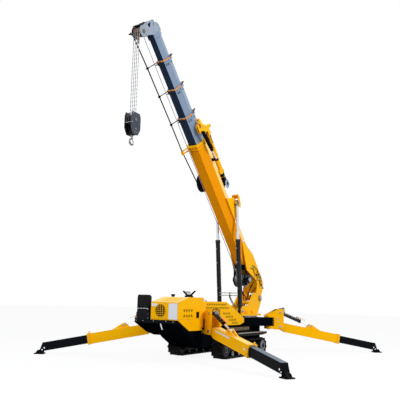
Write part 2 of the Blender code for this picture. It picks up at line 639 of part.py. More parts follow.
def jib(parent):
    """The fly jib, folded and pinned along the top of the base section."""
    high = CENTRE_N + BASE_SECTION[1] / 2
    beam = [prism([(3.92, high + 0.06), (3.92, high + 0.26), (5.35, high + 0.22), (5.50, high + 0.10),
                   (5.50, high + 0.06)], 0.06, 0.22)]
    beam.append(box((4.10, 0.08, high + FIT), (4.22, 0.20, high + 0.10)))
    beam.append(box((5.05, 0.08, high + FIT), (5.17, 0.20, high + 0.10)))
    node("jib_beam", "yellow", parent, beam)
    head = [prism([(5.48, high - 0.12), (5.52, high + 0.22), (5.90, high - 0.1), (5.98, high - 0.36),
                   (5.66, high - 0.40)], 0.255, 0.285)]
    head.append(prism([(5.30, high + 0.07), (5.30, high + 0.2), (5.52, high + 0.2), (5.50, high + 0.07)],
                      0.2205, 0.285))
    node("jib_head", "yellow", parent, head)
    barrel = lathe([(0, 0), (0, 0.04), (0.62, 0.04), (0.62, 0.022), (0.95, 0.022), (0.95, 0)], 14)
    start, end = Vector((5.60, 0.335, 0.27)), Vector((4.63, 0.335, 0.42))
    moved(barrel, Matrix.Translation(start) @ (end - start).to_track_quat("X", "Z").to_matrix().to_4x4())
    low, top = 0.37, 0.44
    clamp = prism([(boom_side(low) + 2 * FIT, low), (0.33, low), (0.33, top), (boom_side(top) + 2 * FIT, top)],
                  4.66, 4.72, "X")
    node("jib_cylinder", "black", parent, [barrel, clamp])


def luff_geometry(angle):
    """Length and angle of the luff cylinders with the boom at this angle."""
    a, n = LUFF_HEAD
    c, s = cos(radians(angle)), sin(radians(angle))
    dx = BOOM_PIVOT[0] + a * c - n * s - LUFF_FOOT[0]
    dz = BOOM_PIVOT[1] + a * s + n * c - LUFF_FOOT[1]
    return hypot(dx, dz), atan2(dz, dx)


def luff_cylinders(barrel_parent, rod_parent):
    """Two cylinders beside the boom, their barrels tied by two cross pipes. X runs up the cylinder."""
    length, _ = luff_geometry(BOOM_ANGLE)
    bore = (LUFF_ROD_RADIUS + SLIDE_GAP) / cos(pi / 16)
    add, cut = [], []
    for side in (1, -1):
        y = side * LUFF_Y
        barrel = lathe([(0.13, 0), (0.13, LUFF_BARREL_RADIUS), (LUFF_BARREL_LENGTH, LUFF_BARREL_RADIUS),
                        (LUFF_BARREL_LENGTH, bore), (0.20, bore), (0.20, 0)], 16)
        add.append(moved(barrel, Matrix.Translation((0, y, 0))))
        add.append(box((0, y - 0.03, -0.045), (0.14, y + 0.03, 0.045)))
        add.append(disc((0, 0), 0.07, y - LUFF_EYE_WIDTH / 2, y + LUFF_EYE_WIDTH / 2))
        cut.append(hole((0, 0), 0.030 + SLIDE_GAP, y - 0.1, y + 0.1))
    for s in (0.70, 0.79):
        add.append(disc((s, -0.045), 0.012, 0.035 - LUFF_Y, LUFF_Y - 0.035, sides=10))
    node("luff_barrels", "black", barrel_parent, add, cut)
    for side, name in ((1, "luff_rod_left"), (-1, "luff_rod_right")):
        y = side * LUFF_Y
        tail = length - LUFF_ROD_LENGTH
        rod = lathe([(tail, 0), (tail, LUFF_ROD_RADIUS), (length - 0.03, LUFF_ROD_RADIUS), (length - 0.03, 0)], 14)
        eye = disc((length, 0), LUFF_EYE_RADIUS, y - LUFF_EYE_WIDTH / 2, y + LUFF_EYE_WIDTH / 2)
        node(name, "chrome", rod_parent, [moved(rod, Matrix.Translation((0, y, 0))), eye],
             [hole((length, 0), 0.032, y - 0.1, y + 0.1)])


def rope_falls(parent):
    """The four falls of the hoist rope, joined where they turn round the block's sheaves."""
    offsets = fall_offsets()
    falls = [disc((0, y), ROPE_RADIUS, -FALL_LENGTH, 0, "Z", 8) for y in offsets]
    falls.append(disc((0, -FALL_LENGTH), ROPE_RADIUS, offsets[0], offsets[-1], sides=8))
    node("hoist_falls", "rope", parent, falls)


def hook_block(block_parent, hook_parent):
    """The hook block: two side plates with sheaves between, and the swivelling hook under it."""
    top = -FALL_LENGTH - ROPE_RADIUS - FIT
    h, w, d = BLOCK_HEIGHT, BLOCK_WIDTH / 2, BLOCK_DEPTH / 2
    outline = [(-0.8 * w, top), (0.8 * w, top), (w, top - 0.10), (w, top - 0.72 * h), (0.5 * w, top - h),
               (-0.5 * w, top - h), (-w, top - 0.72 * h), (-w, top - 0.10)]
    core = [(0.86 * u, top + (v - top) * 0.95 - 0.02) for u, v in outline]
    cheeks = [prism(outline, *sorted((side * d, side * (d - BLOCK_CHEEK)))) for side in (1, -1)]
    node("hook_block", "dark_grey", block_parent, [prism(core, 0.01 - d, d - 0.01), *cheeks])
    base = top - h - SLIDE_GAP
    shank = disc((0, 0), 0.032, base - 0.09, base, "Z", 14)
    centre = (0.0, base - 0.155)
    bend = [(u, v) for u, v in arc(centre, 0.085, 100, -160, 16)]
    inner = [(u, v) for u, v in arc((0.006, base - 0.150), 0.048, -147, 81, 14)]
    hook = prism(bend + inner, -0.026, 0.026)
    node("hook", "steel", hook_parent, [shank, hook])


def outrigger(name, post_x, side, azimuth, arm_length, pin_s, shown, barrel_length, parent):
    """One outrigger: a knuckle on its post, the arm, its lift cylinder and the beam with its foot."""
    post = empty(name + "_post", (post_x, side * POST_Y, 0), parent, (0, 0, radians(azimuth)))
    low, top = DECK_BOTTOM - RUN_GAP, DECK_TOP + RUN_GAP
    inner, outer = CHEEK_GAP, CHEEK_GAP + KNUCKLE_PLATE
    cheek = [(0.125, 0.64), (0.40, 0.64), (0.425, 0.70), (0.42, 1.24), (0.28, 1.235), (0.18, 1.03),
             (-0.05, 1.026), (-0.05, top), (0.125, top)]
    add = []
    for near, far in ((inner, outer), (-outer, -inner)):
        add.append(prism(cheek, near, far))
    plan = arc((0, 0), outer, 90, 270, 8) + [(0.20, -outer), (0.20, outer)]
    add.append(prism(plan, top, top + 0.035, "Z"))
    add.append(prism(plan, low - 0.08, low, "Z"))
    add.append(box((0.122, -outer, low - 0.08), (0.150, outer, top + 0.035)))
    add.append(disc((0, 0), 0.04, low - 0.10, top + 0.040, "Z", 12))
    add.append(disc((0, 0), 0.07, DECK_TOP + SLIDE_GAP, top + 0.01, "Z", 12))
    lift = (HINGE_REACH, HINGE_HEIGHT + LIFT_RISE)
    add.append(disc((HINGE_REACH, HINGE_HEIGHT), 0.03, -outer - 0.012, outer + 0.012, sides=10))
    add.append(disc(lift, 0.022, -outer - 0.01, outer + 0.01, sides=8))
    node(name + "_knuckle", "yellow", post, add)

    reach = arm_length + shown
    slope = atan2(HINGE_HEIGHT - TOE_HEIGHT, reach)
    hinge = empty(name + "_hinge", (HINGE_REACH, 0, HINGE_HEIGHT), post, (0, slope, 0))
    w, h = ARM_HALF_WIDTH, ARM_HALF_HEIGHT

    def ring(s, grow=0.0, half=(w, h)):
        y, z = half[0] + grow, half[1] + grow
        return [(s, -y, -z), (s, y, -z), (s, y, z), (s, -y, z)]

    tube = rings_closed([ring(0.16), ring(arm_length - 0.07), ring(arm_length - 0.07, 0.012),
                         ring(arm_length, 0.012), ring(arm_length, SLIDE_GAP, (BEAM_HALF_WIDTH, BEAM_HALF_HEIGHT)),
                         ring(arm_length - 0.07, SLIDE_GAP, (BEAM_HALF_WIDTH, BEAM_HALF_HEIGHT)),
                         ring(arm_length - 0.09, -ARM_WALL), ring(0.16, -ARM_WALL)])
    root = arc((0, 0), 0.07, 115, 245, 6) + [(0.17, -h + 0.002), (0.17, h - 0.002)]
    add = [tube, prism(root, -w + 0.001, w - 0.001)]
    gusset = [(pin_s - 0.16, h - 0.01), (pin_s - 0.03, GUSSET_RISE + 0.045), (pin_s + 0.04, GUSSET_RISE + 0.04),
              (pin_s + 0.34, h - 0.01)]
    for near, far in ((0.042, 0.060), (-0.060, -0.042)):
        add.append(prism(gusset, near, far))
    add.append(disc((pin_s, GUSSET_RISE), 0.012, -0.07, 0.07, sides=12))
    node(name + "_arm", "yellow", hinge, add, [hole((0, 0), 0.03 + SLIDE_GAP, -0.2, 0.2, sides=10)])

    bw, bh = BEAM_HALF_WIDTH, BEAM_HALF_HEIGHT
    tip = reach - 0.03
    beam = prism([(arm_length - BEAM_INSIDE, -bh), (tip, -bh), (tip, -bh + 0.05), (tip - 0.09, bh),
                  (arm_length - BEAM_INSIDE, bh)], -bw, bw)
    level = Matrix.Rotation(-slope, 4, "Y")
    toe_x = reach * cos(slope)
    ground = -HINGE_HEIGHT
    foot = prism([(toe_x - 0.12, ground + PAD_THICKNESS - 0.002), (toe_x - 0.10, ground + 0.12),
                  (toe_x - 0.04, ground + 0.12), (toe_x + 0.07, ground + PAD_THICKNESS - 0.002)], -0.05, 0.05)
    pad = box((toe_x - PAD_SIZE * 0.62, -PAD_SIZE / 2, ground), (toe_x + PAD_SIZE * 0.45, PAD_SIZE / 2,
                                                               ground + PAD_THICKNESS))
    node(name + "_beam", "black", hinge, [beam, moved(foot, level), moved(pad, level)])

    pin = Vector((pin_s * cos(slope) + GUSSET_RISE * sin(slope), 0,
                  -pin_s * sin(slope) + GUSSET_RISE * cos(slope)))
    rise = pin - Vector((0, 0, LIFT_RISE))
    length = rise.length
    cylinder = empty(name + "_lift", (lift[0], 0, lift[1]), post, (0, atan2(-rise.z, rise.x), 0))
    bore = (LIFT_ROD_RADIUS + SLIDE_GAP) / cos(pi / 12)
    barrel = lathe([(0.02, 0), (0.02, LIFT_BARREL_RADIUS), (barrel_length, LIFT_BARREL_RADIUS),
                    (barrel_length, bore), (0.07, bore), (0.07, 0)], 12)
    eye = disc((0, 0), 0.045, -0.06, 0.06, sides=16)
    node(name + "_lift_barrel", "black", cylinder, [barrel, eye],
         [hole((0, 0), 0.022 + SLIDE_GAP, -0.2, 0.2, sides=8)])
    rod = lathe([(length - 0.46, 0), (length - 0.46, LIFT_ROD_RADIUS), (length - 0.02, LIFT_ROD_RADIUS),
                 (length - 0.02, 0)], 10)
    node(name + "_lift_rod", "chrome", cylinder, [rod, disc((length, 0), 0.042, -0.034, 0.034, sides=14)],
         [hole((length, 0), 0.028, -0.2, 0.2, sides=10)])


def build():
    clear_scene()
    machine = empty("machine", (0, 0, 0))
    for side, name in ((1, "left"), (-1, "right")):
        track_belt("track_" + name, side, machine)
        track_frame("track_frame_" + name, side, machine)
    chassis(machine)
    slew_ring(machine)
    bodywork(machine)
    for row in OUTRIGGERS:
        outrigger(*row, machine)

    slew = empty("slew", (0, 0, 0), machine)
    turntable(slew)
    boom = empty("boom", (BOOM_PIVOT[0], 0, BOOM_PIVOT[1]), slew, (0, -radians(BOOM_ANGLE), 0))
    boom_base(boom)
    winch(boom, boom)
    hose_reel(boom, boom)
    jib(boom)
    boom_stages([boom] * len(STAGES))
    boom_head(boom)
    head_sheaves(boom)
    _, luff_angle = luff_geometry(BOOM_ANGLE)
    luff = empty("luff_cylinder", (LUFF_FOOT[0], 0, LUFF_FOOT[1]), slew, (0, -luff_angle, 0))
    luff_cylinders(luff, luff)
    a, n = HOIST_SHEAVE
    hang = empty("hang", (a, 0, n), boom, (0, radians(BOOM_ANGLE), 0))
    falls = empty("falls", (SHEAVE_RADIUS - GROOVE_DEPTH + ROPE_RADIUS + FIT, 0, 0), hang)
    rope_falls(falls)
    hook_block(falls, falls)

    bpy.context.view_layer.update()
    graph = bpy.context.evaluated_depsgraph_get()
    points = []
    for obj in bpy.context.scene.objects:
        if obj.type in ("MESH", "CURVE"):
            shown = obj.evaluated_get(graph)
            points += [shown.matrix_world @ vertex.co for vertex in shown.to_mesh().vertices]
            shown.to_mesh_clear()
    low = [min(point[i] for point in points) for i in range(3)]
    high = [max(point[i] for point in points) for i in range(3)]
    machine.location = (-(low[0] + high[0]) / 2, -(low[1] + high[1]) / 2, -low[2])
    bpy.context.view_layer.update()


build()
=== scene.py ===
"""The spider crane's finish: paint, rubber, chrome, hoses, ropes, bolts, covers and the operator's seat.

Everything is in metres. A piece is drawn in the frame of what carries it: the machine, the boom, a luff
cylinder or one leg, and then put in the model's frame.
"""

from math import atan2, cos, exp, pi, radians, sin

import bmesh
import bpy
from mathutils import Matrix, Vector


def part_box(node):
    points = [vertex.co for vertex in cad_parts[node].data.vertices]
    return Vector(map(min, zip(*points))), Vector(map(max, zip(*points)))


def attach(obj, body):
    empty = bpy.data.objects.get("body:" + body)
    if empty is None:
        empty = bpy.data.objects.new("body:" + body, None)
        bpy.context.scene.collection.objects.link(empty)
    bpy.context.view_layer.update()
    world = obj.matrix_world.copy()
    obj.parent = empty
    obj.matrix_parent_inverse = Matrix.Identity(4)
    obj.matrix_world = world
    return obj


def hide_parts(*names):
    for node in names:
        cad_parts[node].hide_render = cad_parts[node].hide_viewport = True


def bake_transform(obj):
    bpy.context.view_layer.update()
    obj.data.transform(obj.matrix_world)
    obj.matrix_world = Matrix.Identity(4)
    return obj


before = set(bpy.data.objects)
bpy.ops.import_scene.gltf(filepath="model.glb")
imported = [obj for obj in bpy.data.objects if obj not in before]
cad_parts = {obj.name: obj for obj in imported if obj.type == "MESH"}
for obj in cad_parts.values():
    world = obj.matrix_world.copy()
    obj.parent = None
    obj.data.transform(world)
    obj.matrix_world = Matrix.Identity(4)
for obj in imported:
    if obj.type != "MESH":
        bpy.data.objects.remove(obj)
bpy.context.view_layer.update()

# Places on the machine, from the model and its own named sizes
ring_low, ring_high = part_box("slew_ring")
MACHINE = Matrix.Translation(((ring_low.x + ring_high.x) / 2, 0, 0))
BOOM_TILT = 46.5
BOOM_PIVOT = (-0.68, 0, 1.557)
LUFF_FOOT = (0.73, 0, 1.175)
LUFF_HEAD = (3.12, 0.62)
LUFF_Y = 0.332
CENTRE_N = 0.31
BASE_SECTION = (0.44, 0.56)
# Each inner section: its body, width, depth and front end along the boom
STAGES = [
    ("stage_1", 0.375, 0.465, 6.16),
    ("stage_2", 0.335, 0.42, 6.96),
    ("stage_3", 0.295, 0.375, 7.73),
    ("stage_4", 0.255, 0.33, 8.38),
]
SHEAVE = (8.6, -0.25)
SHEAVE_GAP = 0.054
ROPE_RADIUS = 0.009
REEL_HOSE_RADIUS = 0.0155
REEL_Y, HOSE_Y = -0.311, -0.2
HINGE = (0.33, 0, 0.72)
LIFT_PIN = (0.33, 0, 1.14)
# Each leg: its post along the machine, side, bearing in degrees, arm length, lift pin along the arm,
# length of beam that shows, and barrel length
LEGS = {
    "front_left": (3.0, 1, 59.5, 1.7, 0.75, 1.26, 0.53),
    "front_right": (3.0, -1, -59.5, 1.7, 0.75, 1.26, 0.53),
    "rear_left": (-0.62, 1, 130.5, 1.88, 0.95, 1.27, 0.7),
    "rear_right": (-0.62, -1, -130.5, 1.88, 0.95, 1.27, 0.7),
}
BOOM = MACHINE @ Matrix.Translation(BOOM_PIVOT) @ Matrix.Rotation(-radians(BOOM_TILT), 4, "Y")


# Shapes: each is (points, faces), drawn anywhere and joined before it becomes a piece

def joined(shapes):
    """Several shapes as one."""
    points, faces = [], []
    for more_points, more_faces in shapes:
        start = len(points)
        points += more_points
        faces += [tuple(start + i for i in face) for face in more_faces]
    return points, faces


def placed(shape, matrix):
    """The shape moved into another frame."""
    return [matrix @ p for p in shape[0]], shape[1]


AXES = {
    "X": lambda u, v, w: Vector((w, u, v)),
    "Y": lambda u, v, w: Vector((u, w, v)),
    "Z": lambda u, v, w: Vector((u, v, w)),
}


def slab(outline, low, high, along="Y"):
    """A plate: the outline of (u, v) points, swept from one face to the other along one axis."""
    low, high = sorted((low, high))
    count = len(outline)
    points = [AXES[along](u, v, w) for w in (low, high) for u, v in outline]
    faces = [tuple(range(count)), tuple(range(count, 2 * count))[::-1]]
    faces += [(i, (i + 1) % count, count + (i + 1) % count, count + i) for i in range(count)]
    return points, faces


def oblong(left, low, right, high):
    """The four corners of an upright rectangle, for a slab."""
    return [(left, low), (right, low), (right, high), (left, high)]


def block(corner, opposite):
    """A square-edged block between two opposite corners."""
    low, high = zip(*map(sorted, zip(corner, opposite)))
    return slab(oblong(low[0], low[1], high[0], high[1]), low[2], high[2], "Z")


def turned(profile, along="Y", centre=(0, 0, 0), sides=24):
    """A turned part: the (s, r) profile round the axis through centre. Radius 0 closes an end. A profile
    that comes back to its first point makes a ring."""
    centre = Vector(centre)
    points, rows, faces = [], [], []
    ring = profile[0] == profile[-1]
    for s, r in profile[:-1] if ring else profile:
        row = []
        for i in range(sides if r else 1):
            t = 2 * pi * i / sides
            row.append(len(points))
            points.append(centre + AXES[along](r * cos(t), r * sin(t), s))
        rows.append(row)
    for row, after in zip(rows, rows[1:] + rows[:ring]):
        for i in range(sides):
            j = (i + 1) % sides
            corners = [row[i % len(row)], row[j % len(row)], after[j % len(after)], after[i % len(after)]]
            faces.append(tuple(dict.fromkeys(corners)))
    return points, faces


def round_bar(start, end, radius, along="Y", centre=(0, 0, 0), sides=24):
    """A plain round bar, such as a pin, a boss or a washer."""
    return turned([(start, 0), (start, radius), (end, radius), (end, 0)], along, centre, sides)


def on_face(face, out, profile, centre, sides=24):
    """A turned part that stands on a face, with the profile's steps counted outwards from the face."""
    return turned([(face + out * s, r) for s, r in profile], "Y", centre, sides)


def circle(count, radius, u=0.0, v=0.0):
    """Points evenly round a circle, such as a ring of bolts."""
    turns = [k * pi / (count / 2) for k in range(count)]
    return [(u + radius * cos(t), v + radius * sin(t)) for t in turns]


def shifted(place, turn, axis):
    """A frame at the place, turned about one axis."""
    return Matrix.Translation(place) @ Matrix.Rotation(turn, 4, axis)


def arc(centre, radius, start, end, steps):
    """Points along an arc, its ends in degrees."""
    turns = [radians(start + (end - start) * i / steps) for i in range(steps + 1)]
    return [(centre[0] + radius * cos(t), centre[1] + radius * sin(t)) for t in turns]


def curve_through(points, steps=6):
    """A smooth line through the points."""
    p = [Vector(q) for q in points]
    p = [2 * p[0] - p[1], *p, 2 * p[-1] - p[-2]]
    line = []
    for a, b, c, d in zip(p, p[1:], p[2:], p[3:]):
        for i in range(steps):
            t = i / steps
            line.append(0.5 * (2 * b + (c - a) * t + (2 * a - 5 * b + 4 * c - d) * t * t + (
                3 * b - a - 3 * c + d) * t ** 3))
    return line + [p[-2]]


def tube(path, radius, sides=8, strands=0, lay=0.1, capped=True):
    """A hose, pipe or rope along the path. Strands raise lobes, wound round it once in each lay length."""
    path = [Vector(p) for p in path]
    points, faces = [], []
    side = None
    run = 0.0
    for i, p in enumerate(path):
        ahead = (path[min(i + 1, len(path) - 1)] - path[max(i - 1, 0)]).normalized()
        if side is None:
            side = ahead.orthogonal().normalized()
        side = (side - ahead * side.dot(ahead)).normalized()
        other = ahead.cross(side)
        if i:
            run += (p - path[i - 1]).length
        for j in range(sides):
            t = 2 * pi * j / sides
            r = radius
            if strands:
                r *= 1 - 0.16 * abs(sin(strands / 2 * (t - 2 * pi * run / lay)))
            points.append(p + r * (cos(t) * side + sin(t) * other))
        if i:
            a, b = (i - 1) * sides, i * sides
            faces += [(a + j, a + (j + 1) % sides, b + (j + 1) % sides, b + j) for j in range(sides)]
    if capped:
        faces += [tuple(range(sides))[::-1], tuple(range(len(points) - sides, len(points)))]
    return points, faces


def hose(points, radius, steps=8, sides=10):
    """A hose or bent pipe that runs smoothly through the points."""
    return tube(curve_through(points, steps), radius, sides)


def rope(start, end, radius, step=0.012):
    """Wire rope of six strands along a straight line."""
    start, end = Vector(start), Vector(end)
    count = max(2, int((end - start).length / step))
    path = [start.lerp(end, i / count) for i in range(count + 1)]
    return tube(path, radius, 12, 6, 11 * radius)


def hex_bolt(at, normal, across, tall=0.5):
    """A hexagon head on its washer. The head stands on the point at, along normal."""
    r = across / 2
    washer = turned([(0, 0), (0, 1.35 * r), (0.12 * r, 1.35 * r), (0.14 * r, 0)], "Z", sides=14)
    head = slab(circle(6, r * 1.12), 0.14 * r, across * tall, "Z")
    turn = Vector((0, 0, 1)).rotation_difference(Vector(normal)).to_matrix().to_4x4()
    return placed(joined([washer, head]), Matrix.Translation(at) @ turn)


def bolts(places, normal, across=0.022, tall=0.5):
    """A group of bolts that look the same way."""
    return joined([hex_bolt(at, normal, across, tall) for at in places])


def banjo(at, normal, size=0.022):
    """A hose end: hexagon, collar and ferrule."""
    turn = Vector((0, 0, 1)).rotation_difference(Vector(normal)).to_matrix().to_4x4()
    hexagon = slab(circle(6, size * 0.72), 0, 0.5 * size, "Z")
    ferrule = turned([(0.5 * size, 0), (0.5 * size, 0.45 * size), (0.6 * size, 0.58 * size),
        (1.9 * size, 0.58 * size), (2.0 * size, 0.5 * size), (2.0 * size, 0)], "Z", sides=14)
    return placed(joined([hexagon, ferrule]), Matrix.Translation(at) @ turn)


def smoothed(obj, angle=35):
    """Smooth shading, with the real edges left sharp."""
    obj.data.shade_smooth()
    obj.data.set_sharp_from_angle(angle=radians(angle))


def drawn(name, shapes, where):
    """An object from one shape, or from a list of shapes, put in the model's frame."""
    points, faces = placed(joined(shapes) if isinstance(shapes, list) else shapes, where)
    bm = bmesh.new()
    verts = [bm.verts.new(p) for p in points]
    for face in faces:
        if len(set(face)) > 2:
            bm.faces.new([verts[i] for i in face])
    bmesh.ops.recalc_face_normals(bm, faces=bm.faces)
    mesh = bpy.data.meshes.new(name)
    bm.to_mesh(mesh)
    bm.free()
    obj = bpy.data.objects.new(name, mesh)
    bpy.context.scene.collection.objects.link(obj)
    return obj


def rounded(obj, width, segments=2):
    """Rounds the sharp edges, as wide as a real folded or ground edge."""
    rounding = obj.modifiers.new("rounding", "BEVEL")
    rounding.width = width
    rounding.segments = segments
    rounding.limit_method = "ANGLE"
    return rounding


def piece(name, shapes, body, finish, where=MACHINE, bevel=0.0, angle=35, subdivide=0):
    """A finished piece: its edges rounded, riding on a body of the crane. One that stretches between two
    bodies has none here."""
    obj = drawn(name, shapes, where)
    obj.data.materials.append(finish)
    if bevel:
        rounding = rounded(obj, bevel)
        rounding.angle_limit = radians(32)
        rounding.harden_normals = True
    if subdivide:
        finer = obj.modifiers.new("finer", "SUBSURF")
        finer.levels = finer.render_levels = subdivide
    smoothed(obj, angle)
    if body:
        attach(obj, body)
    return obj


def cut_out(obj, shapes, where=MACHINE):
    """Cuts the shapes out of the piece, before its rounding."""
    cutter = drawn("cutter", shapes, where)
    saved = [m.name for m in obj.modifiers]
    cut = obj.modifiers.new("cut", "BOOLEAN")
    cut.operation = "DIFFERENCE"
    cut.use_self = True
    cut.object = cutter
    for name in saved:
        obj.modifiers[name].show_viewport = False
    bpy.context.view_layer.update()
    graph = bpy.context.evaluated_depsgraph_get()
    made = bpy.data.meshes.new_from_object(obj.evaluated_get(graph))
    obj.modifiers.remove(cut)
    obj.data = made
    for name in saved:
        obj.modifiers[name].show_viewport = True
    bpy.data.objects.remove(cutter)
    smoothed(obj)


# Finishes

def linear(colour):
    """A hex sRGB colour as linear red, green, blue, 1."""
    channels = [int(colour[i:i + 2], 16) / 255 for i in (0, 2, 4)]
    return (*[c / 12.92 if c <= 0.04045 else ((c + 0.055) / 1.055) ** 2.4 for c in channels], 1)


def add(tree, kind, values=(), links=(), **settings):
    """Adds a node with its settings, values by socket and links by socket."""
    made = tree.nodes.new("ShaderNode" + kind)
    for key, value in settings.items():
        setattr(made, key, value)
    for socket, value in dict(values).items():
        made.inputs[socket].default_value = value
    for socket, source in dict(links).items():
        tree.links.new(source, made.inputs[socket])
    return made


def finish(name, roughness, metallic=0.0, **sockets):
    """A material ready for its nodes: returns it, its tree, its shader and the object coordinates."""
    material = bpy.data.materials.new(name)
    material.use_nodes = True
    tree = material.node_tree
    shader = tree.nodes["Principled BSDF"]
    shader.inputs["Roughness"].default_value = roughness
    shader.inputs["Metallic"].default_value = metallic
    for socket, value in sockets.items():
        shader.inputs[socket.replace("_", " ")].default_value = value
    return material, tree, shader, add(tree, "TexCoord").outputs["Object"]


def worn_paint(name, colour, faded, chipped, gloss, coat, peel=0.00035, mirror=0.3, painted_light_by_facing=()):
    """Sprayed two-pack enamel on steel plate: even gloss with a slight orange peel, a little fading in
    large patches, and paler or darker chips where an edge has been knocked. Each colour of painted light
    and shade, with the way that its faces look and how closely, goes on the faces that look that way."""
    material, tree, shader, place = finish(name, gloss, Coat_Weight=coat, Coat_Roughness=0.08,
        Specular_IOR_Level=mirror)
    patches = add(tree, "TexNoise", {"Scale": 1.4, "Detail": 3.0, "Roughness": 0.6}, {"Vector": place})
    spread = add(tree, "MapRange", {"From Min": 0.35, "From Max": 0.75}, {"Value": patches.outputs["Fac"]})
    body = add(tree, "Mix", {"A": linear(colour), "B": linear(faded)}, {"Factor": spread.outputs["Result"]},
        data_type="RGBA")
    # Painted light and shade: each colour goes on the faces that look its way, a painted sheen or reflection
    # on faces towards the light and painted shade on faces away from it
    for shade, way, least in painted_light_by_facing:
        lean = add(tree, "VectorMath", {1: way}, {0: add(tree, "TexCoord").outputs["Normal"]},
            operation="DOT_PRODUCT")
        leaning = add(tree, "Math", {1: least}, {0: lean.outputs["Value"]}, operation="GREATER_THAN")
        body = add(tree, "Mix", {"B": linear(shade)},
            {"Factor": leaning.outputs[0], "A": body.outputs["Result"]}, data_type="RGBA")
    # Edge wear: where the rounded normal leaves the face's own, broken up by 12 mm noise
    rounded = add(tree, "Bevel", {"Radius": 0.006}, samples=4)
    flat = add(tree, "NewGeometry")
    likeness = add(tree, "VectorMath", (), {0: rounded.outputs["Normal"], 1: flat.outputs["True Normal"]},
        operation="DOT_PRODUCT")
    knocks = add(tree, "TexNoise", {"Scale": 42.0, "Detail": 4.0}, {"Vector": place})
    limit = add(tree, "MapRange", {"From Min": 0.45, "From Max": 0.7, "To Min": 0.8, "To Max": 0.975},
        {"Value": knocks.outputs["Fac"]})
    worn = add(tree, "Math", (), {0: likeness.outputs["Value"], 1: limit.outputs["Result"]},
        operation="LESS_THAN")
    share = add(tree, "Math", {1: 0.55}, {0: worn.outputs[0]}, operation="MULTIPLY")
    coloured = add(tree, "Mix", {"B": linear(chipped)},
        {"Factor": share.outputs[0], "A": body.outputs["Result"]}, data_type="RGBA")
    tree.links.new(coloured.outputs["Result"], shader.inputs["Base Color"])
    rough = add(tree, "MapRange", {"To Min": gloss - 0.05, "To Max": gloss + 0.08},
        {"Value": patches.outputs["Fac"]})
    tree.links.new(rough.outputs["Result"], shader.inputs["Roughness"])
    # Orange peel of about 5 mm, coarser than the real 2 mm so that it shows
    ripple = add(tree, "TexNoise", {"Scale": 200.0, "Detail": 1.0}, {"Vector": place})
    bump = add(tree, "Bump", {"Strength": 0.12, "Distance": peel}, {"Height": ripple.outputs["Fac"],
        "Normal": rounded.outputs["Normal"]})
    tree.links.new(bump.outputs["Normal"], shader.inputs["Normal"])
    return material


def bare_metal(name, colour, roughness, grain=(60.0, 60.0, 60.0), stain=None, metallic=1.0):
    """Machined or plated steel: fine tool marks that stretch along one way, with faint staining."""
    material, tree, shader, place = finish(name, roughness, metallic)
    marks = add(tree, "Mapping", {"Scale": grain}, {"Vector": place})
    lines = add(tree, "TexNoise", {"Scale": 4.0, "Detail": 3.0}, {"Vector": marks.outputs["Vector"]})
    rough = add(tree, "MapRange", {"To Min": roughness * 0.7, "To Max": roughness * 1.4},
        {"Value": lines.outputs["Fac"]})
    tree.links.new(rough.outputs["Result"], shader.inputs["Roughness"])
    blotch = add(tree, "TexNoise", {"Scale": 11.0, "Detail": 5.0, "Roughness": 0.65}, {"Vector": place})
    spread = add(tree, "MapRange", {"From Min": 0.5, "From Max": 0.72}, {"Value": blotch.outputs["Fac"]})
    tint = add(tree, "Mix", {"A": linear(colour), "B": linear(stain or colour)},
        {"Factor": spread.outputs["Result"]}, data_type="RGBA")
    tree.links.new(tint.outputs["Result"], shader.inputs["Base Color"])
    bump = add(tree, "Bump", {"Strength": 0.08, "Distance": 0.0004}, {"Height": lines.outputs["Fac"]})
    tree.links.new(bump.outputs["Normal"], shader.inputs["Normal"])
    return material


def moulded_rubber(name, colour, dusty, roughness, grit, dust_share):
    """Moulded black rubber: matt, finely pebbled, with pale dust where the grit holds it."""
    material, tree, shader, place = finish(name, roughness, Specular_IOR_Level=0.1)
    fine = add(tree, "TexNoise", {"Scale": grit, "Detail": 4.0, "Roughness": 0.7}, {"Vector": place})
    cloud = add(tree, "TexNoise", {"Scale": 5.0, "Detail": 6.0, "Roughness": 0.65}, {"Vector": place})
    spread = add(tree, "MapRange", {"From Min": 0.46, "From Max": 0.78, "To Max": dust_share},
        {"Value": cloud.outputs["Fac"]})
    tint = add(tree, "Mix", {"A": linear(colour), "B": linear(dusty)}, {"Factor": spread.outputs["Result"]},
        data_type="RGBA")
    tree.links.new(tint.outputs["Result"], shader.inputs["Base Color"])
    bump = add(tree, "Bump", {"Strength": 0.35, "Distance": 0.0012}, {"Height": fine.outputs["Fac"]})
    tree.links.new(bump.outputs["Normal"], shader.inputs["Normal"])
    return material


def grained_vinyl(name, colour, roughness):
    """Upholstery vinyl with an embossed leather grain of about 4 mm cells, softly glossy on the crowns."""
    material, tree, shader, place = finish(name, roughness, Coat_Weight=0.08, Coat_Roughness=0.3,
        Specular_IOR_Level=0.25)
    cells = add(tree, "TexVoronoi", {"Scale": 240.0}, {"Vector": place}, feature="DISTANCE_TO_EDGE")
    creases = add(tree, "TexNoise", {"Scale": 30.0, "Detail": 3.0}, {"Vector": place})
    tint = add(tree, "Mix", {"A": linear(colour), "B": linear("16181C")}, {"Factor": creases.outputs["Fac"]},
        data_type="RGBA")
    tree.links.new(tint.outputs["Result"], shader.inputs["Base Color"])
    edge = add(tree, "MapRange", {"From Max": 0.12}, {"Value": cells.outputs["Distance"]})
    bump = add(tree, "Bump", {"Strength": 0.4, "Distance": 0.0006}, {"Height": edge.outputs["Result"]})
    tree.links.new(bump.outputs["Normal"], shader.inputs["Normal"])
    return material


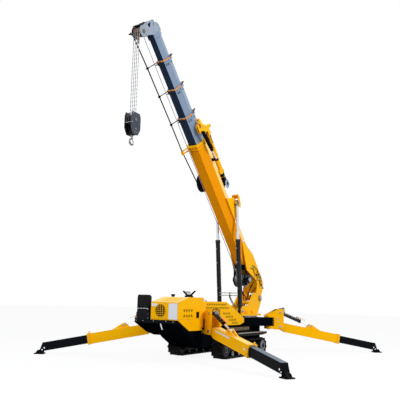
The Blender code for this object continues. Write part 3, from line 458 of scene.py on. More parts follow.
UP_THE_BOOM = (-sin(radians(BOOM_TILT)), 0, cos(radians(BOOM_TILT)))
DOWN_THE_BOOM = (sin(radians(BOOM_TILT)), 0, -cos(radians(BOOM_TILT)))
# Yellow enamel with a painted sheen: a paler yellow on faces that look straight up
YELLOW = worn_paint("yellow_enamel_with_painted_sheen_on_top", "FCBA00", "F8B400", "FFD24A", 0.4, 0.0, mirror=0.05,
    painted_light_by_facing=[("F6CE78", (0, 0, 1), 0.75)])
# Boom base: yellow enamel with painted light, a pale yellow on faces that look up the boom, and painted
# shade, a deeper orange, on faces that look down it
BOOM_YELLOW = worn_paint("yellow_enamel_painted_lighter_above_darker_below", "FCBA00", "F8B400", "FFC94A", 0.4, 0.0, mirror=0.05,
    painted_light_by_facing=[("F8CC74", UP_THE_BOOM, 0.2), ("EE9600", DOWN_THE_BOOM, 0.2)])
BLACK = worn_paint("black_enamel_on_steel", "06080C", "0A0D12", "343A42", 0.42, 0.0, mirror=0.05)
MATT_BLACK = worn_paint("matt_black_enamel_on_frame", "07090D", "0B0E13", "2A3038", 0.6, 0.0, mirror=0.0)
# Boom sections: blue-black enamel with a painted reflection of the sky, a pale slate on every face but the
# underside
BOOM_BLACK = worn_paint("blue_black_enamel_with_painted_sky_reflection", "11233A", "152840", "3D4752", 0.34, 0.0,
    mirror=0.12, painted_light_by_facing=[("7F92A9", UP_THE_BOOM, -0.5)])
# Beams: black enamel with a painted sheen, a grey on faces that look straight up
BEAM_BLACK = worn_paint("black_enamel_with_painted_sheen_on_beam_tops", "06080C", "0A0D12", "343A42", 0.4, 0.0,
    mirror=0.05, painted_light_by_facing=[("69737F", (0, 0, 1), 0.9)])
BARREL_BLACK = worn_paint("blue_black_enamel_on_cylinders", "080E17", "0C131D", "3D4752", 0.28, 0.1,
    mirror=0.2)
GREY = worn_paint("dark_grey_enamel_on_castings", "101318", "181C21", "5B6168", 0.42, 0.0, mirror=0.12)
SILVER = worn_paint("silver_aluminium_paint_on_motor", "8D9297", "A7ABAF", "55585C", 0.34, 0.2)
ORANGE = worn_paint("orange_enamel_on_collars", "E58E00", "DB8608", "8A4E0A", 0.4, 0.1)
WHITE_PLATE = worn_paint("white_enamel_on_aluminium_plate", "E4E8F0", "DADFE8", "A8ADB5", 0.28, 0.3)
CHROME = bare_metal("hard_chrome_on_rod", "D5D9DE", 0.13, (8, 8, 60))
ZINC = bare_metal("zinc_plated_steel", "A9ABA6", 0.34, stain="8E8A72")
STEEL = bare_metal("worn_machined_steel", "77797B", 0.4, stain="5A5048")
ROPE = bare_metal("greased_steel_wire_rope", "8B8E93", 0.42, stain="4A4B4E", metallic=0.85)
RUSTED = bare_metal("handled_steel_with_brown_film", "6A5A4C", 0.55, stain="8A6A4A", metallic=0.5)
RUBBER = moulded_rubber("moulded_track_rubber", "0B0B0C", "4A4540", 0.78, 260.0, 0.45)
HOSE = moulded_rubber("hydraulic_hose_rubber", "08090B", "202226", 0.5, 700.0, 0.2)
PLASTIC = moulded_rubber("black_moulded_plastic", "07080B", "14161B", 0.45, 900.0, 0.3)
VINYL = grained_vinyl("black_seat_vinyl", "090A0D", 0.45)
# Painted shade: a flat near black for hollows and the spaces behind slots and windows
DARK = moulded_rubber("unlit_inside", "050506", "0B0B0C", 0.9, 90.0, 0.2)

BLOCK_PAINT = worn_paint("dark_slate_enamel_on_block", "303946", "3A4452", "8A93A0", 0.36, 0.1, mirror=0.2)
# Painted reflection: a pale slate that stands for the sky's reflection on dark enamel
SLATE = worn_paint("slate_as_painted_sky_reflection_on_head_and_block", "8493A6", "92A0B1", "3E4650", 0.34, 0.2)
NYLON = moulded_rubber("brown_cast_nylon", "8A5F3A", "A87B50", 0.34, 300.0, 0.4)

NODE_FINISH = {
    "chassis": MATT_BLACK, "track_left": RUBBER, "track_right": RUBBER, "track_frame_left": GREY,
    "track_frame_right": GREY, "slew_ring": ZINC, "bonnet": YELLOW, "bonnet_skirt": YELLOW,
    "platform": MATT_BLACK, "seat": PLASTIC, "console": PLASTIC, "cover_left": YELLOW,
    "cover_right": YELLOW, "cover_lid": YELLOW, "step_left": BLACK, "step_right": BLACK,
    "turntable": YELLOW, "boom_base": BOOM_YELLOW, "winch_frame": BLACK, "winch_drum": BLACK,
    "reel_bracket": BLACK, "hose_reel": BLACK, "jib_beam": YELLOW, "jib_head": YELLOW,
    "jib_cylinder": BLACK, "boom_head": SLATE, "head_sheaves": STEEL, "luff_barrels": BARREL_BLACK,
    "luff_rod_left": CHROME, "luff_rod_right": CHROME, "hoist_falls": ROPE, "hook_block": SLATE,
    "hook": STEEL,
}
for number in range(1, 5):
    NODE_FINISH[f"boom_stage_{number}"] = BOOM_BLACK
for leg in LEGS:
    NODE_FINISH[leg + "_knuckle"] = NODE_FINISH[leg + "_arm"] = YELLOW
    NODE_FINISH[leg + "_lift_barrel"] = BARREL_BLACK
    NODE_FINISH[leg + "_beam"] = BEAM_BLACK
    NODE_FINISH[leg + "_lift_rod"] = CHROME
for name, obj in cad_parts.items():
    obj.data.materials.clear()
    obj.data.materials.append(NODE_FINISH[name])


# Camera, lamps, world and floor

CAMERA_PLACE = MACHINE @ Vector((15.1015, 7.7383, 1.4513))
CAMERA_AZIMUTH, CAMERA_PITCH, CAMERA_ROLL = 211.573, 10.119, 1.422
CAMERA_LENS = 50.353


def aim_camera():
    azimuth, pitch, roll = map(radians, (CAMERA_AZIMUTH, CAMERA_PITCH, CAMERA_ROLL))
    ahead = Vector((cos(azimuth) * cos(pitch), sin(azimuth) * cos(pitch), sin(pitch)))
    right = ahead.cross(Vector((0, 0, 1))).normalized()
    up = right.cross(ahead)
    right, up = right * cos(roll) + up * sin(roll), up * cos(roll) - right * sin(roll)
    camera = bpy.data.objects.new("camera", bpy.data.cameras.new("camera"))
    bpy.context.scene.collection.objects.link(camera)
    camera.data.sensor_width = 36
    camera.data.lens = CAMERA_LENS
    camera.data.clip_end = 200
    camera.matrix_world = Matrix.Translation(CAMERA_PLACE) @ Matrix(
        (right, up, -ahead)).transposed().to_4x4()
    bpy.context.scene.camera = camera
    bpy.context.scene.view_settings.view_transform = "Standard"


def lamp(name, place, target, size, power):
    made = bpy.data.objects.new(name, bpy.data.lights.new(name, "AREA"))
    bpy.context.scene.collection.objects.link(made)
    made.data.size = size
    made.data.energy = power
    made.location = MACHINE @ Vector(place)
    made.rotation_euler = (MACHINE @ Vector(target) - made.location).to_track_quat("-Z", "Y").to_euler()


def seen_directly(tree):
    """1 for rays from the camera and in mirror or glass, where the backdrop is plain white."""
    path = add(tree, "LightPath")
    first = add(tree, "Math", (), {0: path.outputs["Is Camera Ray"], 1: path.outputs["Is Glossy Ray"]},
        operation="MAXIMUM")
    return add(tree, "Math", (), {0: first.outputs[0], 1: path.outputs["Is Transmission Ray"]},
        operation="MAXIMUM").outputs[0]


def light_and_floor():
    world = bpy.data.worlds.new("studio")
    world.use_nodes = True
    bpy.context.scene.world = world
    background = world.node_tree.nodes["Background"]
    background.inputs["Color"].default_value = (1, 1, 1, 1)
    strength = add(world.node_tree, "MapRange", {"To Min": 0.62, "To Max": 1.0},
        {"Value": seen_directly(world.node_tree)})
    world.node_tree.links.new(strength.outputs["Result"], background.inputs["Strength"])
    lamp("key", (3.0, 13.0, 11.0), (1.0, 0, 2.5), 6.0, 1500)
    lamp("front_fill", (14.0, -3.0, 8.0), (1.0, 0, 2.0), 6.0, 600)
    floor = bpy.data.objects.new("floor", bpy.data.meshes.new("floor"))
    floor.data.from_pydata([(-60, -60, 0), (60, -60, 0), (60, 60, 0), (-60, 60, 0)], [], [(0, 1, 2, 3)])
    bpy.context.scene.collection.objects.link(floor)
    material = bpy.data.materials.new("white_studio_floor")
    material.use_nodes = True
    tree = material.node_tree
    tree.nodes.remove(tree.nodes["Principled BSDF"])
    matt = add(tree, "BsdfDiffuse", {"Color": linear("A4A6AA")})
    glow = add(tree, "Emission", {"Color": (1, 1, 1, 1), "Strength": 1.12})
    share = add(tree, "MapRange", {"To Max": 0.82}, {"Value": seen_directly(tree)})
    both = add(tree, "MixShader", (), {0: share.outputs["Result"], 1: matt.outputs[0], 2: glow.outputs[0]})
    tree.links.new(both.outputs[0], tree.nodes["Material Output"].inputs["Surface"])
    floor.data.materials.append(material)


aim_camera()
light_and_floor()


# Undercarriage

TRACK_REAR, TRACK_RUN, TRACK_RADIUS = 0.02, 2.145, 0.2275
TRACK_AROUND = 2 * TRACK_RUN + 2 * pi * TRACK_RADIUS
TRACK_Y, TRACK_HALF = 0.655, 0.175
LUG = 0.026


def on_track(distance, depth):
    """The (x, z) point this far round the track, this deep below the lugs' tips."""
    d = distance % TRACK_AROUND
    rear, r = TRACK_REAR + TRACK_RADIUS, TRACK_RADIUS - depth
    if d < TRACK_RUN:
        return rear + d, TRACK_RADIUS - r
    d -= TRACK_RUN
    if d < pi * TRACK_RADIUS:
        t = d / TRACK_RADIUS - pi / 2
        return rear + TRACK_RUN + r * cos(t), TRACK_RADIUS + r * sin(t)
    d -= pi * TRACK_RADIUS
    if d < TRACK_RUN:
        return rear + TRACK_RUN - d, TRACK_RADIUS + r
    t = (d - TRACK_RUN) / TRACK_RADIUS + pi / 2
    return rear + r * cos(t), TRACK_RADIUS + r * sin(t)


def rubber_track(side):
    """The moulded belt with its chevron lugs, steel core bumps inside and a rounded shoulder."""
    count = 150
    across = [(-TRACK_HALF, LUG + 0.008), (-TRACK_HALF + 0.012, LUG), (TRACK_HALF - 0.012, LUG),
        (TRACK_HALF, LUG + 0.008), (TRACK_HALF, LUG + 0.024), (TRACK_HALF - 0.01, LUG + 0.03),
        (-TRACK_HALF + 0.01, LUG + 0.03), (-TRACK_HALF, LUG + 0.024)]
    points, faces = [], []
    for i in range(count):
        for y, depth in across:
            x, z = on_track(i * TRACK_AROUND / count, depth)
            points.append(Vector((x, side * TRACK_Y + y, z)))
    width = len(across)
    for i in range(count):
        a, b = i * width, (i + 1) % count * width
        faces += [(a + j, a + (j + 1) % width, b + (j + 1) % width, b + j) for j in range(width)]
    shapes = [(points, faces)]
    lugs = 40
    sweep, steps = 0.07, 4
    for i in range(lugs):
        start = i * TRACK_AROUND / lugs
        for half in (-1, 1):
            p = []
            for k in range(steps + 1):
                t = k / steps
                y = half * (0.004 + t * (TRACK_HALF - 0.008))
                d = start + (0.035 if half > 0 else 0.0) - sweep * t
                root, tip = 0.03 - 0.004 * t, 0.019 + 0.003 * t
                for along, depth in ((-root, LUG + 0.003), (-tip, 0.003), (-tip + 0.005, 0.0),
                        (tip - 0.005, 0.0), (tip, 0.003), (root, LUG + 0.003)):
                    x, z = on_track(d + along, depth)
                    p.append(Vector((x, side * TRACK_Y + y, z)))
            f = [tuple(range(6)), tuple(range(6 * steps, 6 * steps + 6))[::-1]]
            for k in range(steps):
                a, b = 6 * k, 6 * k + 6
                f += [(a + j, a + (j + 1) % 6, b + (j + 1) % 6, b + j) for j in range(6)]
            shapes.append((p, f))
    return joined(shapes)


def undercarriage():
    """The belts with their sprockets, idlers, rollers, frame plates and bolts."""
    for side, name in ((1, "left"), (-1, "right")):
        track = piece(f"rubber_track_{name}", rubber_track(side), "root", RUBBER)
        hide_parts("track_" + name)
        face = side * (TRACK_Y + TRACK_HALF - 0.03)
        rear, front = TRACK_REAR + TRACK_RADIUS, TRACK_REAR + TRACK_RADIUS + TRACK_RUN
        def dish(x, z, rings, sides=28):
            return on_face(face, side, rings, (x, 0, z), sides)

        teeth = []
        wheel = TRACK_RADIUS - LUG - 0.032
        for k in range(15):
            t = 2 * pi * k / 15
            tooth = slab([(wheel - 0.03, -0.016), (wheel - 0.004, -0.008), (wheel - 0.004, 0.008),
                (wheel - 0.03, 0.016)], face - side * 0.004, face + side * 0.012)
            teeth.append(placed(tooth, shifted((rear, 0, TRACK_RADIUS), t, "Y")))
        sprocket = dish(rear, TRACK_RADIUS, [(-0.002, 0), (-0.002, 0.148), (0.01, 0.148), (0.01, 0.128),
            (0.004, 0.12), (0.004, 0.098), (0.016, 0.092), (0.02, 0.088), (0.02, 0)])
        piece(f"drive_sprocket_{name}", [sprocket, *teeth], "root", STEEL, bevel=0.0015)
        motor = dish(rear, TRACK_RADIUS, [(0.018, 0), (0.018, 0.072), (0.026, 0.068), (0.028, 0.05),
            (0.034, 0.045), (0.036, 0.02), (0.036, 0)])
        piece(f"travel_motor_cap_{name}", motor, "root", BLACK)
        ring = [(x, face + side * 0.02, z) for x, z in circle(10, 0.08, rear, TRACK_RADIUS)]
        ring += [(x, face + side * 0.012, z) for x, z in circle(8, 0.062, front, TRACK_RADIUS)]
        piece(f"wheel_bolts_{name}", bolts(ring, (0, side, 0), 0.016), "root", ZINC)
        idler = dish(front, TRACK_RADIUS, [(-0.002, 0), (-0.002, 0.166), (0.012, 0.166), (0.012, 0.14),
            (0.002, 0.13), (0.002, 0.085), (0.012, 0.078), (0.012, 0.045), (0.024, 0.04), (0.026, 0.0)])
        piece(f"front_idler_{name}", idler, "root", GREY)
        rollers = []
        for k in range(5):
            x = rear + (front - rear) * (k + 1) / 6
            rollers.append(dish(x, LUG + 0.03 + 0.0626, [(-0.002, 0), (-0.002, 0.06), (0.006, 0.06),
                (0.008, 0.045), (0.004, 0.04), (0.004, 0.024), (0.014, 0.02), (0.016, 0)], 20))
        piece(f"track_rollers_{name}", rollers, "root", STEEL)
        beam = side * (TRACK_Y + 0.1)
        guard = slab([(rear + 0.33, 0.17), (front - 0.33, 0.17), (front - 0.36, 0.315),
            (rear + 0.36, 0.315)], beam, beam + side * 0.01)
        piece(f"track_frame_plate_{name}", guard, "root", GREY, bevel=0.003)
        rib = [slab(oblong(x, 0.18, x + 0.02, 0.305), beam + side * 0.008, beam + side * 0.026)
            for x in (0.75, 1.07, 1.39, 1.71)]
        piece(f"track_frame_ribs_{name}", rib, "root", GREY, bevel=0.002)
        spots = [(x, beam + side * 0.01, z) for x in (0.66, 0.91, 1.23, 1.55, 1.9) for z in (0.195, 0.29)]
        piece(f"track_frame_bolts_{name}", bolts(spots, (0, side, 0), 0.018), "root", ZINC)


def steps_and_deck():
    """Step edges and treads, side panels, post boss rims, the slew ring's gear and bolts."""
    for side, name in ((1, "left"), (-1, "right")):
        y = side * 0.83
        edge = slab(oblong(0.03, 0.6, 1.79, 0.621), y - side * 0.014, y + side * 0.003)
        piece(f"step_nosing_{name}", edge, "root", ZINC, bevel=0.003)
        treads = []
        for i in range(22):
            for j in range(4):
                x, z = 0.09 + 0.08 * i, 0.615
                yy = side * (0.47 + 0.085 * j)
                tilt = 45 if (i + j) % 2 else -45
                bar = slab(oblong(-0.02, -0.004, 0.02, 0.004), -0.001, 0.0022, "Z")
                treads.append(placed(bar, shifted((x, yy, z), radians(tilt), "Z")))
        piece(f"step_treads_{name}", treads, "root", BLACK)
        # The brown, handled side panel over the step, with its row of fixings
        panel = slab(oblong(0.36, 0.64, 1.62, 0.735), side * 0.4005, side * 0.436)
        piece(f"deck_side_panel_{name}", panel, "root", RUSTED, bevel=0.004)
        spots = [(0.44 + 0.157 * k, side * 0.436, 0.69) for k in range(8)]
        piece(f"deck_side_bolts_{name}", bolts(spots, (0, side, 0), 0.018), "root", ZINC)
    caps, eyes = [], []
    for x in (3.0, -0.62):
        for side in (1, -1):
            at = (x, side * 0.6, 0)
            caps.append(turned([(0.742, 0), (0.742, 0.108), (0.752, 0.1165), (0.774, 0.1165),
                (0.78, 0.1125)], "Z", at, 32))
            caps.append(turned([(0.945, 0.1125), (0.953, 0.1165), (0.97, 0.1165), (0.978, 0.1125)], "Z", at,
                32))
    piece("post_boss_rims", caps, "root", BLACK)
    for side in (1, -1):
        for x in (0.25, -0.25):
            eyes.append(tube([(x - 0.04, side * 0.3, 0.984), (x - 0.04, side * 0.3, 1.02),
                (x, side * 0.3, 1.034), (x + 0.04, side * 0.3, 1.02), (x + 0.04, side * 0.3, 0.984)], 0.007,
                8))
    gear = []
    for k in range(64):
        t = 2 * pi * k / 64
        tooth = slab([(0.446, -0.012), (0.462, -0.006), (0.462, 0.006), (0.446, 0.012)], 0.99, 1.022, "Z")
        gear.append(placed(tooth, Matrix.Rotation(t, 4, "Z")))
    piece("slew_ring_gear", gear, "root", STEEL)
    spots = [(x, y, 0.985) for x, y in circle(24, 0.52) if abs(y) < 0.4]
    piece("slew_ring_bolts", bolts(spots, (0, 0, 1), 0.022), "root", ZINC)
    belly = [block((x, -0.34, 0.288), (x + 0.05, 0.34, 0.2905)) for x in (0.4, 1.1, 1.8, 2.5)]
    piece("belly_straps", belly, "root", BLACK, bevel=0.001)


# Bodywork

def chevrons(places, width, height, stroke, up=True):
    """V-shaped slots in (u, v)."""
    shapes = []
    for u, v in places:
        s = 1 if up else -1
        shapes.append([(u - width / 2, v + s * height / 2), (u, v - s * height / 2),
            (u + width / 2, v + s * height / 2), (u + width / 2 - stroke, v + s * height / 2),
            (u, v - s * height / 2 + s * stroke * 1.6), (u - width / 2 + stroke, v + s * height / 2)])
    return shapes


BONNET_SIDE, BONNET_FRONT = 0.603, 4.325
BONNET = [(BONNET_FRONT, 0.976), (BONNET_FRONT, 1.381), (3.839, 1.507), (3.2, 1.507), (3.2, 0.7953),
    (3.7, 0.7953), (3.85, 0.976)]


def bonnet_shell():
    """Folded sheet bonnet with rounded folds, joint gaps, slots at the side and a round grille in front."""
    shell = piece("bonnet_shell", slab(BONNET, -0.153, BONNET_SIDE), "root", YELLOW)
    cuts = []
    for z, up in ((1.185, True), (1.085, False)):
        places = [(3.735 + 0.105 * k, z) for k in range(4)]
        for outline in chevrons(places, 0.096, 0.08, 0.032, up):
            cuts.append(slab(outline, BONNET_SIDE - 0.012, BONNET_SIDE + 0.01))
    gap = 0.0035
    for a, b in (((3.345, 0.8), (3.345 + gap, 1.52)), ((3.345, 0.998), (4.33, 0.998 + gap))):
        cuts.append(slab([a, (b[0], a[1]), b, (a[0], b[1])], BONNET_SIDE - 0.006, BONNET_SIDE + 0.01))
    cuts.append(block((3.345, -0.16, 1.5), (3.345 + gap, 0.61, 1.52)))
    cuts.append(block((4.318, -0.16, 0.998), (4.33, 0.61, 0.998 + gap)))
    cut_out(shell, cuts)
    # Painted shade: a thin near-black sheet behind the side slots
    behind = [block((3.66, BONNET_SIDE - 0.0122, 1.035), (4.1, BONNET_SIDE - 0.0105, 1.235))]
    piece("side_slot_painted_shade", behind, "root", DARK)
    rounding = rounded(shell, 0.007, 3)
    rounding.angle_limit = radians(30)
    rounding.use_clamp_overlap = True
    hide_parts("bonnet")
    grille()


def grille():
    """The round fan guard: a pressed ring and bars over a flat disc of painted shade, in the bonnet's front.
    """
    x, y0, z0, r = BONNET_FRONT, 0.117, 1.185, 0.146
    # Painted shade: a flat disc in the unlit finish for the hollow behind the bars
    well = round_bar(x + 0.0005, x + 0.0015, r, "X", (0, y0, z0), 40)
    piece("fan_well_painted_shade", well, "root", DARK)
    rim = turned([(x, r), (x + 0.006, r + 0.002), (x + 0.008, r + 0.008), (x + 0.004, r + 0.014),
        (x, r + 0.016)], "X", (0, y0, z0), 44)
    bars = [rim]
    for k in range(-4, 5, 2):
        half = (r * r - (k * 0.032) ** 2) ** 0.5
        y = y0 + k * 0.032
        bars.append(slab(oblong(y - 0.0045, z0 - half, y + 0.0045, z0 + half), x + 0.001, x + 0.006, "X"))
    for m in range(-3, 4):
        z = z0 + m * 0.042
        half = (r * r - (m * 0.042) ** 2) ** 0.5
        bars.append(slab(oblong(y0 - half, z - 0.0045, y0 + half, z + 0.0045), x + 0.001, x + 0.006, "X"))
    piece("fan_guard_bars", bars, "root", YELLOW, bevel=0.0012)


def bonnet_fittings():
    """Blank plates, screws, the paddle latch, hinges, top ribs and the tank's cap on its chain."""
    x = BONNET_FRONT
    sheet = slab(oblong(0.345, 0.995, 0.59, 1.358), x, x + 0.0025, "X")
    piece("bare_front_plate", sheet, "root", WHITE_PLATE, bevel=0.001)
    small = slab(oblong(-0.142, 1.282, 0.03, 1.346), x, x + 0.0025, "X")
    piece("bare_small_plate", small, "root", WHITE_PLATE, bevel=0.001)
    rivets = [(x + 0.0025, y, z) for y in (0.358, 0.577) for z in (1.008, 1.345)]
    rivets += [(x + 0.0025, y, 1.314) for y in (-0.134, 0.022)]
    piece("plate_rivets", bolts(rivets, (1, 0, 0), 0.008, 0.3), "root", ZINC)
    edge = [(x, -0.128, 1.012), (x, -0.125, 1.03), (x, 0.22, 1.35), (x, 0.22, 1.03)]
    piece("front_panel_screws", bolts(edge, (1, 0, 0), 0.014, 0.35), "root", ZINC)
    y = BONNET_SIDE
    spots = [(4.27, y, 0.985), (4.27, y, 1.36), (3.86, y, 0.985), (3.86, y, 1.455), (3.4, y, 1.455),
        (3.38, y, 0.985), (3.26, y, 1.43), (3.26, y, 1.1), (3.26, y, 0.83)]
    piece("side_panel_screws", bolts(spots, (0, 1, 0), 0.014, 0.35), "root", ZINC)
    tray = slab(oblong(3.405, 1.022, 3.53, 1.168), y, y + 0.004)
    paddle = slab(oblong(3.428, 1.045, 3.507, 1.12), y + 0.002, y + 0.012)
    lock = turned([(y + 0.002, 0), (y + 0.002, 0.012), (y + 0.01, 0.012), (y + 0.011, 0)], "Y",
        (3.468, 0, 1.145), 18)
    piece("paddle_latch_tray", tray, "root", PLASTIC, bevel=0.0015)
    piece("paddle_latch_handle", [paddle, lock], "root", PLASTIC, bevel=0.003)
    hinges = []
    for x0 in (3.5, 4.02):
        z = 1.5 if x0 < 3.8 else 1.381 + (BONNET_FRONT - x0) * 0.2593 - 0.006
        hinges.append(round_bar(x0 - 0.045, x0 + 0.045, 0.009, "X", (0, -0.157, z - 0.03), 14))
    piece("bonnet_hinges", hinges, "root", BLACK)
    # Low pressed ribs across the sloping top
    tilt = atan2(1.507 - 1.381, BONNET_FRONT - 3.839)
    slope = shifted((BONNET_FRONT, 0, 1.381), tilt, "Y")
    ribs = []
    for k in range(6):
        s = -0.09 - 0.058 * k
        ribs.append(slab([(s - 0.012, -0.001), (s - 0.004, 0.006), (s + 0.004, 0.006), (s + 0.012, -0.001)],
            0.05, 0.5))
    piece("bonnet_top_ribs", placed(joined(ribs), slope), "root", YELLOW, bevel=0.002)
    cap = turned([(1.506, 0), (1.506, 0.045), (1.512, 0.045), (1.516, 0.03), (1.53, 0.03), (1.532, 0.046),
        (1.536, 0.05), (1.566, 0.05), (1.574, 0.044), (1.576, 0.02), (1.572, 0.016), (1.572, 0)], "Z",
        (3.62, -0.02, 0), 26)
    piece("tank_filler_cap", cap, "root", PLASTIC)
    chain = [tube([(3.665, -0.02, 1.534), (3.7, 0.01, 1.512), (3.72, 0.05, 1.511)], 0.003, 6)]
    piece("tank_cap_chain", chain, "root", ZINC)


def control_stand():
    """The folded levers on the bonnet's top: a black V of two arms with orange-tipped grips on a pod."""
    x = 3.3
    pod = slab([(0.13, 1.506), (0.345, 1.506), (0.325, 1.545), (0.275, 1.575), (0.2, 1.575), (0.15, 1.545)],
        x - 0.055, x + 0.055, "X")
    pod_piece = piece("control_pod", pod, "root", PLASTIC, bevel=0.008)
    arms = [slab([(0.165, 1.545), (0.215, 1.56), (0.085, 1.668), (0.045, 1.655)], x - 0.016, x + 0.016, "X"),
        slab([(0.26, 1.56), (0.31, 1.545), (0.43, 1.655), (0.39, 1.668)], x - 0.016, x + 0.016, "X")]
    piece("control_lever_arms", arms, "root", PLASTIC, bevel=0.006)
    levers = []
    for k in range(5):
        y = 0.178 + 0.03 * k
        levers.append(tube([(x + 0.03, y, 1.57), (x + 0.04, y, 1.6), (x + 0.055, y, 1.625)], 0.005, 8))
        levers.append(turned([(0, 0), (0, 0.008), (0.012, 0.012), (0.022, 0.01), (0.026, 0)], "Z",
            (x + 0.055, y, 1.622), 12))
    piece("spool_levers", levers, "root", BLACK)
    grip = slab([(0.396, 1.664), (0.432, 1.652), (0.444, 1.664), (0.412, 1.68)], x - 0.018, x + 0.018, "X")
    piece("lever_orange_tip", grip, "root", ORANGE, bevel=0.004)
    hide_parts("console")


def side_covers():
    """Perforated tank and radiator covers, cut through in rows of chevrons, with painted shade behind them.
    """
    outline = [(3.195, 0.995), (3.195, 1.414), (1.72, 1.414), (0.7, 0.975), (0.7, 0.86), (0.95, 0.8),
        (2.7, 0.8), (2.7, 0.995)]
    for side, name in ((1, "left"), (-1, "right")):
        y = side * 0.44
        sheet = piece(f"perforated_cover_{name}", slab(outline, y - side * 0.006, y), "root", YELLOW)
        cuts = []
        rows = [(1.33, 2.74, 12, True), (1.245, 2.78, 14, True), (1.12, 1.9, 5, False),
            (1.035, 1.74, 5, False), (0.95, 1.56, 5, False), (0.87, 1.38, 4, False)]
        for z, start, count, up in rows:
            for shape in chevrons([(start - 0.088 * k, z) for k in range(count)], 0.074, 0.066, 0.027, up):
                cuts.append(slab(shape, y - 0.02, y + 0.02))
        cut_out(sheet, cuts)
        rounded(sheet, 0.0015)
        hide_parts("cover_" + name)
        # Painted shade: a thin near-black sheet just inside each cover, behind its slots
        inside = [(3.1, 1.01), (3.1, 1.385), (1.74, 1.385), (0.86, 0.98), (0.86, 0.89), (0.99, 0.825),
            (2.66, 0.825), (2.66, 1.01)]
        piece(f"cover_painted_shade_{name}", slab(inside, y - side * 0.0085, y - side * 0.0065), "root", DARK)
        rim = []
        for (x0, z0), (x1, z1) in zip(outline, outline[1:] + outline[:1]):
            along = Vector((x1 - x0, z1 - z0)).normalized()
            inward = Vector((-along.y, along.x)) * 0.018
            quad = [(x0, z0), (x1, z1), (x1 + inward.x, z1 + inward.y), (x0 + inward.x, z0 + inward.y)]
            rim.append(slab(quad, y - side * 0.02, y - side * 0.005))
        piece(f"cover_return_flange_{name}", rim, "root", YELLOW)
        spots = [(3.15, y, 1.37), (2.45, y, 1.385), (1.8, y, 1.385), (1.45, y, 1.24), (0.76, y, 0.93),
            (1.3, y, 0.83), (2.1, y, 0.83), (2.66, y, 0.83), (3.15, y, 1.03)]
        piece(f"cover_screws_{name}", bolts(spots, (0, side, 0), 0.014, 0.35), "root", ZINC)
    # The tank's shape behind the covers, coloured in painted shade
    tank = slab([(3.1, 0.988), (3.1, 1.34), (1.78, 1.34), (1.1, 1.05), (1.1, 0.988)], -0.4, 0.4)
    ribs = [slab(oblong(x, 1.0, x + 0.03, 1.3), -0.408, 0.408) for x in (1.9, 2.2, 2.5, 2.8)]
    piece("hydraulic_tank_behind_covers", [tank, *ribs], "root", DARK, bevel=0.006)
    seam = [block((x, -0.41, 1.4135), (x + 0.004, 0.41, 1.4165)) for x in (2.2, 2.7)]
    piece("cover_lid_joints", seam, "root", DARK)
    handles = [tube([(2.4, s * 0.2, 1.413), (2.4, s * 0.2, 1.44), (2.42, s * 0.2, 1.45),
        (2.52, s * 0.2, 1.45), (2.54, s * 0.2, 1.44), (2.54, s * 0.2, 1.413)], 0.007, 10) for s in (1, -1)]
    piece("cover_lid_handles", handles, "root", BLACK)


def platform_fittings():
    """The silver tie and its pivot under the platform's nose, edge lips and a tread surface."""
    bracket = [slab([(4.26, 0.885), (4.352, 0.905), (4.352, 0.955), (4.28, 0.955)], y0, y0 + 0.008)
        for y0 in (0.105, 0.155)]
    piece("platform_tie_bracket", bracket, "root", RUSTED, bevel=0.002)
    body = tube([(4.335, 0.134, 0.93), (4.285, 0.128, 0.835), (4.235, 0.124, 0.76)], 0.016, 12)
    collar = [tube([(4.3, 0.13, 0.864), (4.29, 0.129, 0.845)], 0.021, 12)]
    piece("platform_silver_tie", [body, *collar], "root", CHROME)
    lip = slab([(4.345, 0.9757), (4.352, 0.9757), (4.352, 0.906), (4.345, 0.902)], -0.6, 0.57)
    piece("platform_nose_lip", lip, "root", BLACK, bevel=0.002)
    spots = [(4.352, y, 0.945) for y in (-0.55, -0.35, -0.05, 0.3, 0.5)]
    piece("platform_nose_bolts", bolts(spots, (1, 0, 0), 0.016), "root", ZINC)


# Superstructure and boom

def pin_head(x, z, face, out, r, where_bolts=(0.0, -1.0)):
    """A pin's end beside a cheek: the washer, the chamfered head and a keeper bar held by two screws."""
    head = on_face(face, out, [(0, 0), (0, 1.5 * r), (0.004, 1.5 * r), (0.005, 1.05 * r), (0.013, 1.02 * r),
        (0.016, 0.9 * r), (0.016, 0)], (x, 0, z), 26)
    u, v = where_bolts
    cx, cz = x + u * r * 1.25, z + v * r * 1.25
    bar = slab([(cx - v * r - u * 0.3 * r, cz + u * r - v * 0.3 * r),
        (cx + v * r - u * 0.3 * r, cz - u * r - v * 0.3 * r),
        (cx + v * r + u * 0.3 * r, cz - u * r + v * 0.3 * r),
        (cx - v * r + u * 0.3 * r, cz + u * r + v * 0.3 * r)], face, face + out * 0.011)
    screws = bolts([(cx + k * v * 0.65 * r, face + out * 0.011, cz - k * u * 0.65 * r) for k in (-1, 1)],
        (0, out, 0), 0.36 * r, 0.45)
    return joined([head, bar]), screws


def bead(points, r=0.0035):
    """A weld bead along the line."""
    return tube(points, r, 6)


